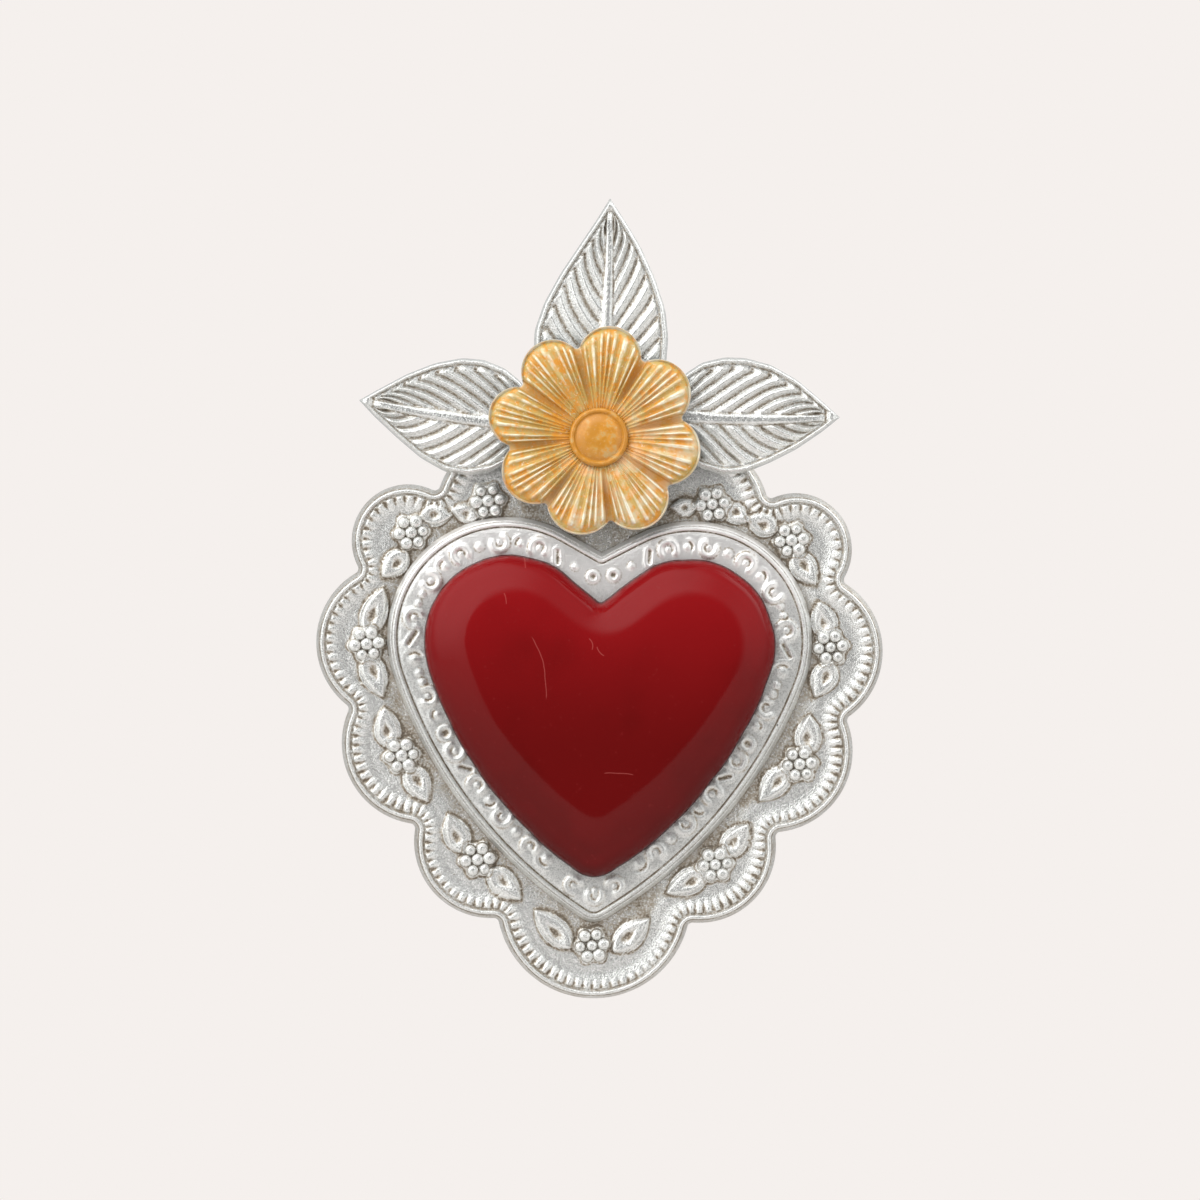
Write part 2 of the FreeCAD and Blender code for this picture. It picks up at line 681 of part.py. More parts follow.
def add_cap():
    body = doc.addObject("PartDesign::Body", "flower_cap")
    sketch = body.newObject("Sketcher::SketchObject", "cap_profile")
    plane = [item for item in body.Origin.OriginFeatures if item.Role == "XZ_Plane"][0]
    sketch.AttachmentSupport = [(plane, "")]
    sketch.MapMode = "FlatFace"
    lip_foot = "sizes.cap_lip_rise / 2"
    dip = "(sizes.cap_radius - sizes.cap_lip_width)"
    # Across and up from the seat's middle, round the profile from the axis
    corners = [
        ("0", "0"),
        ("sizes.cap_radius", "0"),
        ("sizes.cap_radius", lip_foot),
        ("sizes.cap_radius - sizes.cap_lip_width / 2", "sizes.cap_lip_rise"),
        (dip, lip_foot),
    ]
    for across, up in CAP_CROWN_SHARES:
        corners.append(("%s * %s" % (dip, across), "%s + sizes.cap_crown_rise * %s" % (lip_foot, up)))
    corners.append(("0", lip_foot + " + sizes.cap_crown_rise"))
    points = [FreeCAD.Vector(*[sheet.evalExpression(term) for term in corner]) for corner in corners]
    for index, point in enumerate(points):
        sketch.addGeometry(Part.LineSegment(point, points[(index + 1) % len(points)]))
    for index in range(len(points)):
        sketch.addConstraint(Sketcher.Constraint("Coincident", index, 2, (index + 1) % len(points), 1))
    for index, (point, terms) in enumerate(zip(points, corners)):
        for kind, value, term in zip(("DistanceX", "DistanceY"), point, terms):
            if term == "0":
                axis = -2 if kind == "DistanceX" else -1
                sketch.addConstraint(Sketcher.Constraint("PointOnObject", index, 1, axis))
            else:
                bound = sketch.addConstraint(Sketcher.Constraint(kind, -1, 1, index, 1, value))
                sketch.setExpression("Constraints[%d]" % bound, term)
    doc.recompute()
    turned = body.newObject("PartDesign::Revolution", "cap_turned")
    turned.Profile = sketch
    turned.ReferenceAxis = (sketch, ["V_Axis"])
    turned.Angle = 360
    body.Tip = turned
    return body


flower_cap = add_cap()

# Hanging ring and its strap, inside the plate's hollow back

RING_RADIUS = (size("ring_bore") + size("ring_wire")) / 2
WIRE_RADIUS = size("ring_wire") / 2
LOOP_RADIUS = WIRE_RADIUS + size("ring_gap")
HINGE_DEPTH = PLATE_BACK_DEPTH - LOOP_RADIUS
HINGE_HEIGHT = PLATE_TOP - size("hinge_drop")
# The ring leans on the plate's back, less a hair's breadth
LEAN = math.asin((size("ring_gap") - size("rest_gap")) / (2 * RING_RADIUS))


def add_ring():
    # The wire's eight-sided section, set out from the ring's axis and turned about it
    section = doc.addObject("Part::RegularPolygon", "ring_section")
    section.Polygon = 8
    section.setExpression("Circumradius", "sizes.ring_wire / 2")
    section.Placement.Rotation = FreeCAD.Rotation(FreeCAD.Vector(1, 0, 0), 90)
    section.setExpression("Placement.Base.x", "(sizes.ring_bore + sizes.ring_wire) / 2")
    ring = doc.addObject("Part::Revolution", "hanger_ring")
    ring.Source = section
    ring.Axis = FreeCAD.Vector(0, 0, 1)
    ring.Angle = 360
    ring.Solid = True
    return ring


def add_box(name, across, deep, up, place):
    box = doc.addObject("Part::Box", name)
    for cell, term in zip(("Length", "Width", "Height"), (across, deep, up)):
        box.setExpression(cell, term)
    for cell, term in zip(("x", "y", "z"), place):
        box.setExpression("Placement.Base." + cell, term)
    return box


def add_rod(name, radius, length, start):
    rod = doc.addObject("Part::Cylinder", name)
    rod.Placement.Rotation = FreeCAD.Rotation(FreeCAD.Vector(0, 1, 0), 90)
    rod.setExpression("Radius", radius)
    rod.setExpression("Height", length)
    rod.setExpression("Placement.Base.x", start)
    return rod


def add_strap():
    # Modelled with its loop's centre at its own origin, the wall towards +Y
    loop = "(sizes.ring_wire / 2 + sizes.ring_gap)"
    outside = "(sizes.ring_wire / 2 + sizes.ring_gap + sizes.strap_gauge)"
    foot = "(sizes.ring_wire / 2 + sizes.ring_gap + sizes.strap_gauge + sizes.strap_foot)"
    across = "sizes.strap_width"
    start = "-sizes.strap_width / 2"
    long = "(sizes.strap_width + 2 * sizes.overrun)"
    bow = add_rod("strap_bow", outside, across, start)
    legs = add_box("strap_legs", across, loop, "2 * " + outside, (start, "-" + loop, "-" + outside))
    feet = add_box("strap_feet", across, "sizes.strap_gauge", "2 * " + foot,
                   (start, "-" + loop, "-" + foot))
    bore = add_rod("strap_bore", loop, long, "-%s / 2" % long)
    gap = add_box("strap_gap", long, loop + " + sizes.overrun", "2 * " + loop,
                  ("-%s / 2" % long, "-%s - sizes.overrun" % loop, "-" + loop))
    full = doc.addObject("Part::MultiFuse", "strap_full")
    full.Shapes = [bow, legs, feet]
    inside = doc.addObject("Part::MultiFuse", "strap_inside")
    inside.Shapes = [bore, gap]
    strap = doc.addObject("Part::Cut", "hanger_strap")
    strap.Base = full
    strap.Tool = inside
    return strap


hanger_ring = add_ring()
hanger_strap = add_strap()

# Solder: groups of small drops that join the pressings

SOLDER = size("solder_radius")
# How far below the side leaves' middle their drops sit, in half widths of the leaf
LEAF_SOLDER_DROP_SHARES = (0.42, 0.55)


def add_solder(name, places):
    # Each place is (across, up, back depth, front depth) of one drop
    drops = []
    for index, (across, up, back, front) in enumerate(places):
        drop = doc.addObject("Part::Prism", "%s_drop_%d" % (name, index))
        drop.Polygon = 8
        drop.setExpression("Circumradius", "sizes.solder_radius")
        drop.Height = front - back
        drop.Placement = FreeCAD.Placement(at_depth((across, up), back),
                                           FreeCAD.Rotation(FreeCAD.Vector(1, 0, 0), 90))
        drops.append(drop)
    group = doc.addObject("Part::Compound", name)
    group.Links = drops
    return group


def heart_spots(heart, inset):
    # One spot at the side and one at the top of each lobe, and one above the tip
    right = [polar(heart["lobe"], heart["lobe_radius"] - inset, turn) for turn in (0, math.pi / 2)]
    return right + [mirrored(spot) for spot in right]


def frame_solder_places():
    spots = heart_spots(FRAME, size("frame_band"))
    spots.append((0, size("frame_band") + SOLDER - FRAME_TIP_SHARE * size("frame_height")))
    return [spot + (FIELD_DEPTH, SEAT_DEPTH - GAUGE) for spot in spots]


def dome_solder_places():
    spots = heart_spots(DOME, GAUGE * 2 + SOLDER) + [DOME["tip"]]
    return [spot + (SEAT_DEPTH, SEAT_DEPTH + size("solder_height")) for spot in spots]


def leaf_solder_places():
    # On the bead's crest, below the side leaves' middle by a share of their half width
    crest = size("plate_depth")
    inset = RIM_FRONT_SHARES[1][0] * RIM
    right = PLATE_LOBES[len(SIDE_LOBE_SHARES)]
    reach = right[2] - inset
    spots = [polar(TOP_LOBE, TOP_LOBE[2] - inset, math.pi / 2)]
    for share in LEAF_SOLDER_DROP_SHARES:
        up = SIDE_LEAF_UP - share * size("side_leaf_width") / 2
        spot = polar(right, reach, math.asin((up - right[1]) / reach))
        spots += [spot, mirrored(spot)]
    return [spot + (crest, LEAF_BACK_DEPTH) for spot in spots]


def flower_solder_places():
    # Under the petals that lie on the three leaves
    places = []
    for petal in (0, 2, 6):
        turn = math.radians(90 - PETAL_SHARES[petal][0])
        spot = polar(PETALS[petal], PETALS[petal][2] - SOLDER - GAUGE, turn)
        places.append(spot + (LEAF_TOP_DEPTH, FLOWER_DEPTH))
    return places


solder_frame = add_solder("solder_frame", frame_solder_places())
solder_dome = add_solder("solder_dome", dome_solder_places())
solder_leaves = add_solder("solder_leaves", leaf_solder_places())
solder_flower = add_solder("solder_flower", flower_solder_places())

# Placement: the hanging point, inside the top of the ring, is the origin

HANG_REACH = 2 * RING_RADIUS - WIRE_RADIUS
HANG_DEPTH = HINGE_DEPTH + HANG_REACH * math.sin(LEAN)
HANG_HEIGHT = HINGE_HEIGHT + HANG_REACH * math.cos(LEAN)
ORIGIN = FreeCAD.Vector(0, HANG_DEPTH, -HANG_HEIGHT)
UPRIGHT = FreeCAD.Rotation()


def place(piece, point, depth, rotation):
    piece.Placement = FreeCAD.Placement(ORIGIN + at_depth(point, depth), rotation)


for piece in (base_plate, heart_frame, heart_dome, flower,
              solder_frame, solder_dome, solder_leaves, solder_flower):
    place(piece, (0, 0), 0, UPRIGHT)
for name, (_, base, turn) in LEAF_PLACES.items():
    place(leaves[name], base, 0, FreeCAD.Rotation(FreeCAD.Vector(0, 1, 0), turn))
place(flower_cap, FLOWER_CENTRE, CAP_DEPTH, FreeCAD.Rotation(FreeCAD.Vector(1, 0, 0), 90))
place(hanger_strap, (0, HINGE_HEIGHT), HINGE_DEPTH, UPRIGHT)
place(hanger_ring, (0, HINGE_HEIGHT + RING_RADIUS * math.cos(LEAN)),
      HINGE_DEPTH + RING_RADIUS * math.sin(LEAN),
      FreeCAD.Rotation(FreeCAD.Vector(1, 0, 0), 90 + math.degrees(LEAN)))
doc.recompute()

pieces = [base_plate, heart_frame, heart_dome, flower, flower_cap, hanger_strap, hanger_ring,
          solder_frame, solder_dome, solder_leaves, solder_flower] + list(leaves.values())
for item in doc.Objects:
    if "Invalid" in item.State or "Error" in item.State:
        raise RuntimeError("%s failed: %s" % (item.Name, item.State))
os.makedirs("parts", exist_ok=True)
for piece in pieces:
    if piece.Shape.isNull() or not piece.Shape.isValid():
        raise RuntimeError("%s has no valid shape" % piece.Label)
    piece.Shape.exportStep("parts/%s.step" % piece.Label)
    box = piece.Shape.BoundBox
    print("%-14s solids %d faces %d volume %.1f x %.2f..%.2f y %.2f..%.2f z %.2f..%.2f" % (
        piece.Label, len(piece.Shape.Solids), len(piece.Shape.Faces), piece.Shape.Volume,
        box.XMin, box.XMax, box.YMin, box.YMax, box.ZMin, box.ZMax))
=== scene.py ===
import math

import bpy
import numpy as np
from mathutils import Matrix, Vector


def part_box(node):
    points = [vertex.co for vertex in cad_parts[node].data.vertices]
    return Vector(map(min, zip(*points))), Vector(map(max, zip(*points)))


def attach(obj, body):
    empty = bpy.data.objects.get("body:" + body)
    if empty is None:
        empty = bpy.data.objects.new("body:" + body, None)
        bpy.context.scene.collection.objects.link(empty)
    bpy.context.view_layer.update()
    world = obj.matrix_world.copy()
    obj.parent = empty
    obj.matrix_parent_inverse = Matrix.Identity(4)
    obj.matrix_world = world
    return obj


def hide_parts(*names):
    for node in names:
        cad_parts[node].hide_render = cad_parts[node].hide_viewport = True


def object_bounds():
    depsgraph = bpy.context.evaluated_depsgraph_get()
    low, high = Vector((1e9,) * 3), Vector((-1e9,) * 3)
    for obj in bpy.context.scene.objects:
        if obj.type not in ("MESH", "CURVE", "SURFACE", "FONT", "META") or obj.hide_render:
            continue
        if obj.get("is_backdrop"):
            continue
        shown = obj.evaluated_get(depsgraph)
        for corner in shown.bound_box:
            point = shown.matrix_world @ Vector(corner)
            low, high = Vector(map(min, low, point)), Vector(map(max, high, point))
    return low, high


bl_info = {
    "name": "Tin heart ornament",
    "version": (1, 0, 0),
    "blender": (4, 5, 0),
    "location": "View3D > Sidebar > Tin heart",
    "description": "Dresses the packed tin ornament: embossed plate, enamelled heart, leaves and flower",
    "category": "Object",
}

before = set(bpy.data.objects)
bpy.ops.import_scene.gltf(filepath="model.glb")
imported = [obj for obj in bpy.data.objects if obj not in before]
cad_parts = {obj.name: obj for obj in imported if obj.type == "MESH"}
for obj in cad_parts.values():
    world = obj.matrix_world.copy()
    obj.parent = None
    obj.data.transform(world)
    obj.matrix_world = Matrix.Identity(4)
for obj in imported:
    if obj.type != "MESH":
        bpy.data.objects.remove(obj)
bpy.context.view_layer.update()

# The layout frame: millimetres across and up from the plate's datum, and depth off the wall
PLATE_LOW, PLATE_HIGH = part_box("base_plate")
PLATE_DROP = 69.0
WALL = PLATE_HIGH[1] * 1000
DATUM = PLATE_LOW[2] * 1000 + PLATE_DROP

# Depth of each layer off the wall in mm
HUB_DEPTH = 3.3
FIELD_DEPTH = 3.5
BERRY_DEPTH = 3.82
LEAF_DEPTH = 5.3
BAND_DEPTH = 5.5
FLOWER_DEPTH = 8.2
BUTTON_DEPTH = 10.1

# Scalloped plate, from the bottom lobe up the right side: across, up, radius
BOTTOM_LOBE = (0.0, -47.3, 21.7)
SIDE_LOBES = [(23.24, -34.4, 17.2), (38.9, -12.8, 18.2), (45.4, 9.6, 17.9), (43.3, 32.3, 12.6),
              (18.99, 38.8, 18.4)]
TOP_LOBE = (0.0, 44.0, 15.0)
CUSP_RADIUS = 1.2
RIM_WIDTH = 6.5
FLUTE_STEPS = 6
FIELD_STEPS = 36

# Plate's rim from its edge inwards: inset and depth in front, then behind, and the insets of its rows
RIM_PROFILE = [(0, 0), (0.15, 0.55), (0.85, 3.35), (1.08, 4.08), (1.16, 3.98), (1.30, 4.62), (1.45, 4.90),
               (1.70, 5.0), (1.98, 4.92), (2.16, 4.60), (2.38, 4.14), (2.62, 4.28), (2.9, 4.42), (4.2, 4.26),
               (5.6, 3.92), (6.5, 3.78)]
RIM_BACK = [(0.45, 0.0), (0.9, 1.6), (1.65, 4.3), (2.6, 3.9), (4.4, 3.75)]
RIM_ROWS = [0, 0.08, 0.2, 0.5, 0.85, 1.02, 1.1, 1.18, 1.3, 1.45, 1.6, 1.75, 1.9, 2.05, 2.2, 2.35, 2.5, 2.65,
            2.8, 3.1, 3.5, 4.0, 4.5, 5.0, 5.5, 6.0, 6.5]

# Hearts: lobe's middle and radius, notch up, side radius, tip radius, notch radius, tip up
FRAME_HEART = ((20.55, 11.35), 24.9, 28.7, 101.7, 3.0, 1.09, -49.8)
DOME_HEART = ((19.7, 10.34), 19.3, 19.6, 85.8, 7.1, 0.94, -41.4)

# Steps of a heart's outline along side, lobe, flank, notch and tip
BORDER_STEPS = (210, 260, 40, 16, 24)
DOME_STEPS = (150, 170, 30, 16, 30)
REACH_STEPS = (240, 260, 30, 12, 30)

# Heart border from outside inwards: inset and depth in front, then behind with the gauge still to take off
BORDER_PROFILE = [(-1.9, 3.5), (-1.8, 3.9), (-1.0, 5.30), (-0.72, 5.56), (-0.62, 5.36), (-0.5, 5.66),
                  (-0.35, 5.9), (-0.1, 6.0), (0.2, 5.92), (0.36, 5.55), (0.48, 5.20), (0.62, 5.30),
                  (0.8, 5.42), (1.4, 5.52), (2.4, 5.56), (4.5, 5.5), (8, 5.5)]
BORDER_BACK = [(-1.45, 3.5), (-0.5, 4.7), (0.3, 5.0)]
BORDER_FLAT = (1.4, 7.4)
BORDER_EDGE = [-1.9, -1.84, -1.75]

# Dome: rise and shoulder's reach in mm, the two powers of its curve, its middle and its mesh's insets
DOME_RISE = 8.45
DOME_REACH = 16.5
DOME_SHAPE = (3.1, 0.50)
DOME_MIDDLE = np.array([0.0, -1.0])
DOME_LIP = [0, 0.02, 0.06, 0.12, 0.2, 0.3, 0.42, 0.56, 0.75]
DOME_INNER = 6.0

# Fine scratches in the enamel: across and up of both ends, and the bow between them, in mm
SCRATCHES = [((-15.2, 11.9), (-11.3, -2.2), 1.1), ((-21.1, 21.2), (-20.3, 18.7), 0.2),
             ((-17.0, 29.2), (-16.7, 26.6), 0.1), ((-0.6, 9.8), (1.1, 7.8), -0.3),
             ((-2.4, 11.6), (-1.6, 9.0), 0.5), ((1.5, -17.8), (8.2, -18.3), 0.2)]

# Sprigs: berries' middle, then middle and tip of each leaf
SPRIGS = [
    [(-25.5, 41.5), (-30.4, 38.7), (-33.2, 39.4)],
    [(-42.4, 34.1), (-37.2, 37.9), (-33.9, 38.0), (-45.7, 27.2), (-48.3, 24.3)],
    [(-51.7, 9.1), (-50.3, 15.6), (-48.4, 21.2), (-50.2, 2.8), (-48.0, -2.2)],
    [(-43.4, -15.5), (-46.6, -10.0), (-47.4, -5.3), (-39.9, -21.2), (-37.6, -25.2)],
    [(-26.0, -38.2), (-30.7, -33.0), (-32.6, -28.6), (-20.3, -43.2), (-16.5, -46.6)],
    [(-0.2, -56.7), (-8.3, -53.8), (-12.8, -49.4), (8.0, -54.6), (12.1, -50.7)],
    [(26.8, -38.1), (30.9, -33.1), (33.7, -29.2), (21.3, -41.9), (16.5, -44.5)],
    [(45.0, -15.4), (46.8, -9.4), (46.9, -4.8), (39.9, -19.5), (36.5, -23.4)],
    [(51.3, 10.7), (49.8, 16.2), (48.6, 20.4), (50.1, 4.0), (48.2, 0.0)],
    [(42.1, 34.3), (35.7, 37.6), (32.2, 38.9), (44.9, 28.4), (47.4, 24.9)],
    [(24.3, 41.9), (29.6, 39.9), (32.3, 38.3), (18.1, 41.1), (15.5, 41.1)],
]
BERRY_RING = 2.62
BERRY_TURN = 8
BERRY_PRICK = 0.09

# Heart border's stamped marks, from the notch down to the tip: kind, size in mm and turn in degrees
BORDER_MARKS = [
    ("pit", 1.0, 0), ("dot", 0.8, 0), ("slot", 1.2, 60), ("scroll", 1.8, 80), ("bead", 0.9, 20),
    ("scroll", 1.7, 250), ("dot", 1.0, 0), ("scroll", 1.8, 90), ("bead", 1.0, 60), ("scroll", 1.9, 270),
    ("dots", 0.75, 0), ("scroll", 1.9, 110), ("slot", 1.5, 35), ("bead", 1.3, 200), ("dots", 0.85, 0),
    ("scroll", 1.8, 300), ("bead", 0.9, 120), ("pit", 1.4, 0), ("scroll", 1.9, 60), ("slot", 1.2, -40),
    ("scroll", 1.9, 250), ("bead", 1.1, 30), ("scroll", 1.8, 80), ("dot", 1.0, 0), ("scroll", 1.7, 240),
    ("bead", 1.2, 100),
]
MARK_INSET = 3.9
MARK_START = 2.2
MARK_PITCH = 4.5
MARK_STAGGER = 0.5
TWIN_SPREAD = 1.1

# Marks at the tip: kind, across, up, size and turn
TIP_MARKS = [("scroll", 0.1, -45.6, 1.5, -90), ("dot", 0.1, -44.6, 0.8, 0), ("scroll", -4.6, -43.3, 1.6, 140),
             ("scroll", 4.6, -43.3, 1.6, 40)]

# Leaves: base, tip, half-widths of the left and right side along the length in mm, veins in the
# whole length, and how far the veins run on and bend on the right and left side
LEAVES = {
    "leaf_top": ((-1.8, 52.0), (0.1, 109.1),
                 [(0, 5.0), (0.08, 9.0), (0.2, 12.6), (0.35, 14.4), (0.47, 14.6), (0.58, 13.6), (0.7, 10.9),
                  (0.82, 7.3), (0.92, 3.4), (1, 0.0)],
                 [(0, 5.0), (0.08, 9.0), (0.2, 12.8), (0.35, 14.9), (0.47, 15.1), (0.58, 13.3), (0.7, 10.0),
                  (0.82, 5.9), (0.92, 2.5), (1, 0.0)], 11.5, (14.5, 17.0, 1.1, 0.85)),
    "leaf_left": ((-16.2, 58.3), (-54.5, 63.1),
                  [(0, 5.0), (0.1, 9.4), (0.2, 11.7), (0.33, 12.9), (0.45, 12.6), (0.6, 10.6), (0.75, 7.3),
                   (0.9, 3.0), (1, 0.0)],
                  [(0, 5.0), (0.1, 8.8), (0.2, 11.5), (0.33, 13.0), (0.45, 12.9), (0.6, 10.7), (0.75, 7.1),
                   (0.9, 3.1), (1, 0.0)], 8.5, (13.0, 19.0, 1.1, 1.0)),
    "leaf_right": ((13.8, 61.3), (52.1, 61.7),
                   [(0, 5.0), (0.1, 9.0), (0.2, 11.6), (0.33, 13.0), (0.45, 12.6), (0.6, 10.2), (0.75, 7.2),
                    (0.9, 3.2), (1, 0.0)],
                   [(0, 5.0), (0.1, 9.2), (0.2, 11.8), (0.33, 13.0), (0.45, 12.9), (0.6, 11.4), (0.75, 8.2),
                    (0.9, 3.4), (1, 0.0)], 8.5, (17.0, 13.0, 1.0, 1.1)),
}

# A leaf's raised rim: distance from its edge and rise in mm
LEAF_RIM = [(0, 0), (0.06, 0.60), (0.42, 1.80), (0.62, 2.12), (0.8, 2.22), (1.0, 2.12), (1.15, 1.72),
            (1.32, 1.34), (1.5, 1.40)]

# Petals against the clock: degrees from straight up, reach and lobe radius in mm
PETALS = [(6.4, 24.7, 7.1), (-36.1, 24.7, 7.1), (-76.8, 24.9, 6.7), (-119.0, 23.2, 7.4),
          (-165.8, 22.0, 7.7), (-213.1, 22.7, 7.4), (-260.5, 22.7, 7.7), (-308.5, 23.6, 7.55)]
FLOWER_MIDDLE = (-1.2, 55.8)
FLOWER_RISE = 3.8
PETAL_CUSP = 0.8
PETAL_STEPS, NOTCH_STEPS = 112, 4
SEAT_RADIUS = 6.3

# Along a petal from its edge to the middle: height of its back and of the fold beside it
PETAL_BACK = [(0, 0.62), (0.1, 0.90), (0.3, 1.0), (0.5, 0.96), (0.75, 0.78), (1, 0.52)]
PETAL_FOLD = [(0, 0.26), (0.1, 0.34), (0.5, 0.40), (1, 0.46)]

# Flower's middle: radius and rise, from its raised ring in to the button's top
BUTTON_PROFILE = [(3.0, 0.0), (6.45, 0.0), (6.5, 0.35), (6.46, 0.75), (6.3, 1.08), (6.08, 1.3), (5.85, 1.38),
                  (5.6, 1.32), (5.42, 1.12), (5.3, 0.92), (5.15, 0.86), (4.95, 0.98), (4.6, 1.22), (4.0, 1.5),
                  (3.2, 1.74), (2.3, 1.88), (1.4, 1.96), (0.6, 2.0)]

# Stage in metres: light of the surroundings by direction, start, end and gain, lamps, dark card and floor
SKY_COLOUR = (1.0, 1.0, 0.99, 1.0)
SKY_GLOW = 0.55
SKY_LOBES = [((-0.55, -0.55, 0.62), 0.50, 0.95, 1.55), ((0.80, -0.55, 0.15), 0.70, 1.0, 0.45),
             ((0.70, 0.30, 0.65), 0.80, 1.0, 2.2)]
LAMPS = [("key", (-0.75, -0.80, 0.85), 0.7, 9.0), ("fill", (1.05, -0.70, 0.20), 0.9, 4.0)]
CARD_MIDDLE = (0.22, -1.25, 0.04)
CARD_RADIUS = 1.05
CARD_EDGE = 0.78
FLOOR_CORNERS = [(-0.9, -0.9), (0.9, -0.9), (0.9, 0.45), (-0.9, 0.45)]
FLOOR_DROP = 0.15

# View: its middle in the layout frame, and its lens and sensor, all in mm
VIEW_MIDDLE = (-0.12, 20.03, 3.0)
VIEW_LENS = 90.0
SENSOR_WIDTH = 36.0

# The photograph: its scale in mm to a pixel, its width in pixels and its turn in degrees
PHOTO_SCALE = 0.2225
PHOTO_WIDTH = 1200
PHOTO_TURN = 1.3


def mm(value):
    return value * 1000


def smooth(low, high, value):
    share = np.clip((value - low) / (high - low), 0, 1)
    return share * share * (3 - 2 * share)


def bump(value, width):
    return np.exp(-(value / width) ** 2)


def follow(profile, value):
    """Value of a profile's pairs at a place between them."""
    return np.interp(value, *zip(*profile))


def in_row(across, up, depth):
    """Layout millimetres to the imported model's metres."""
    across, up, depth = np.broadcast_arrays(across, up, depth)
    return np.stack([across, WALL - depth, up + DATUM], -1) / 1000


def wobble(across, up, scale, seed):
    """Smooth hand-made unevenness, about -1 to 1."""
    maker = np.random.default_rng(seed)
    total = np.zeros_like(across, dtype=float)
    for _ in range(5):
        turn, phase = maker.uniform(0, 2 * math.pi, 2)
        stretch = maker.uniform(0.6, 1.6) / scale
        total += np.sin((across * math.cos(turn) + up * math.sin(turn)) * stretch + phase)
    return total / 3


def local_axes(across, up, middle, cos, sin):
    """Places measured along and aside of a direction from a middle."""
    across, up = across - middle[0], up - middle[1]
    return across * cos + up * sin, up * cos - across * sin


def blurred(values, reach):
    """Mean of each value's neighbours on a grid that closes on itself sideways."""
    rows = np.arange(len(values))
    shifts = range(-reach, reach + 1)
    result = sum(values[np.clip(rows + shift, 0, len(rows) - 1)] for shift in shifts) / len(shifts)
    return sum(np.roll(result, shift, axis=1) for shift in shifts) / len(shifts)


def sunken(depth, reach):
    """How far each point lies below its surroundings, in mm."""
    return np.clip(blurred(depth, reach) - depth, 0, 0.4)


# Outlines


def polar(centre, radius, angle):
    return (centre[0] + radius * math.cos(angle), centre[1] + radius * math.sin(angle))


def direction(start, end):
    return math.atan2(end[1] - start[1], end[0] - start[0])


def unwound(start, end, turn):
    """The end angle moved by whole turns until it lies past the start."""
    while (end - start) * turn < 0:
        end += turn
    return end


def circle(centre, radius, angles):
    return np.stack([centre[0] + radius * np.cos(angles), centre[1] + radius * np.sin(angles)], -1)


def arc_points(centre, radius, start, end, steps):
    return circle(centre, radius, start + (end - start) * np.arange(steps) / steps)


def scalloped_arcs(lobes, cusp, inset):
    """Arcs of a scalloped outline moved in by inset: each lobe, then the small cusp after it."""
    cusps = []
    for index, lobe in enumerate(lobes):
        other = lobes[(index + 1) % len(lobes)]
        reach, other_reach = lobe[2] + cusp, other[2] + cusp
        gap = math.hypot(other[0] - lobe[0], other[1] - lobe[1])
        along = (gap ** 2 + reach ** 2 - other_reach ** 2) / (2 * gap)
        cusps.append(polar(lobe, reach, direction(lobe, other) - math.acos(along / reach)))
    arcs = []
    for index, lobe in enumerate(lobes):
        after, other = cusps[index], lobes[(index + 1) % len(lobes)]
        start = direction(lobe, cusps[index - 1])
        arcs.append((lobe, lobe[2] - inset, start, unwound(start, direction(lobe, after), 2 * math.pi)))
        start = direction(after, lobe)
        arcs.append((after, cusp + inset, start, unwound(start, direction(after, other), -2 * math.pi)))
    return arcs


def scalloped_ring(lobes, cusp, inset, steps):
    arcs = scalloped_arcs(lobes, cusp, inset)
    return np.concatenate([arc_points(*arc, count) for arc, count in zip(arcs, steps)])


LEFT_LOBES = [(-x, z, radius) for x, z, radius in reversed(SIDE_LOBES)]
PLATE_LOBES = [BOTTOM_LOBE] + SIDE_LOBES + [TOP_LOBE] + LEFT_LOBES


def plate_ring(inset, steps):
    return scalloped_ring(PLATE_LOBES, CUSP_RADIUS, inset, steps)


def flute_counts(pitch):
    arcs = scalloped_arcs(PLATE_LOBES, CUSP_RADIUS, RIM_WIDTH * 0.68)
    return [max(1, round(abs(end - start) * radius / pitch)) for _, radius, start, end in arcs]


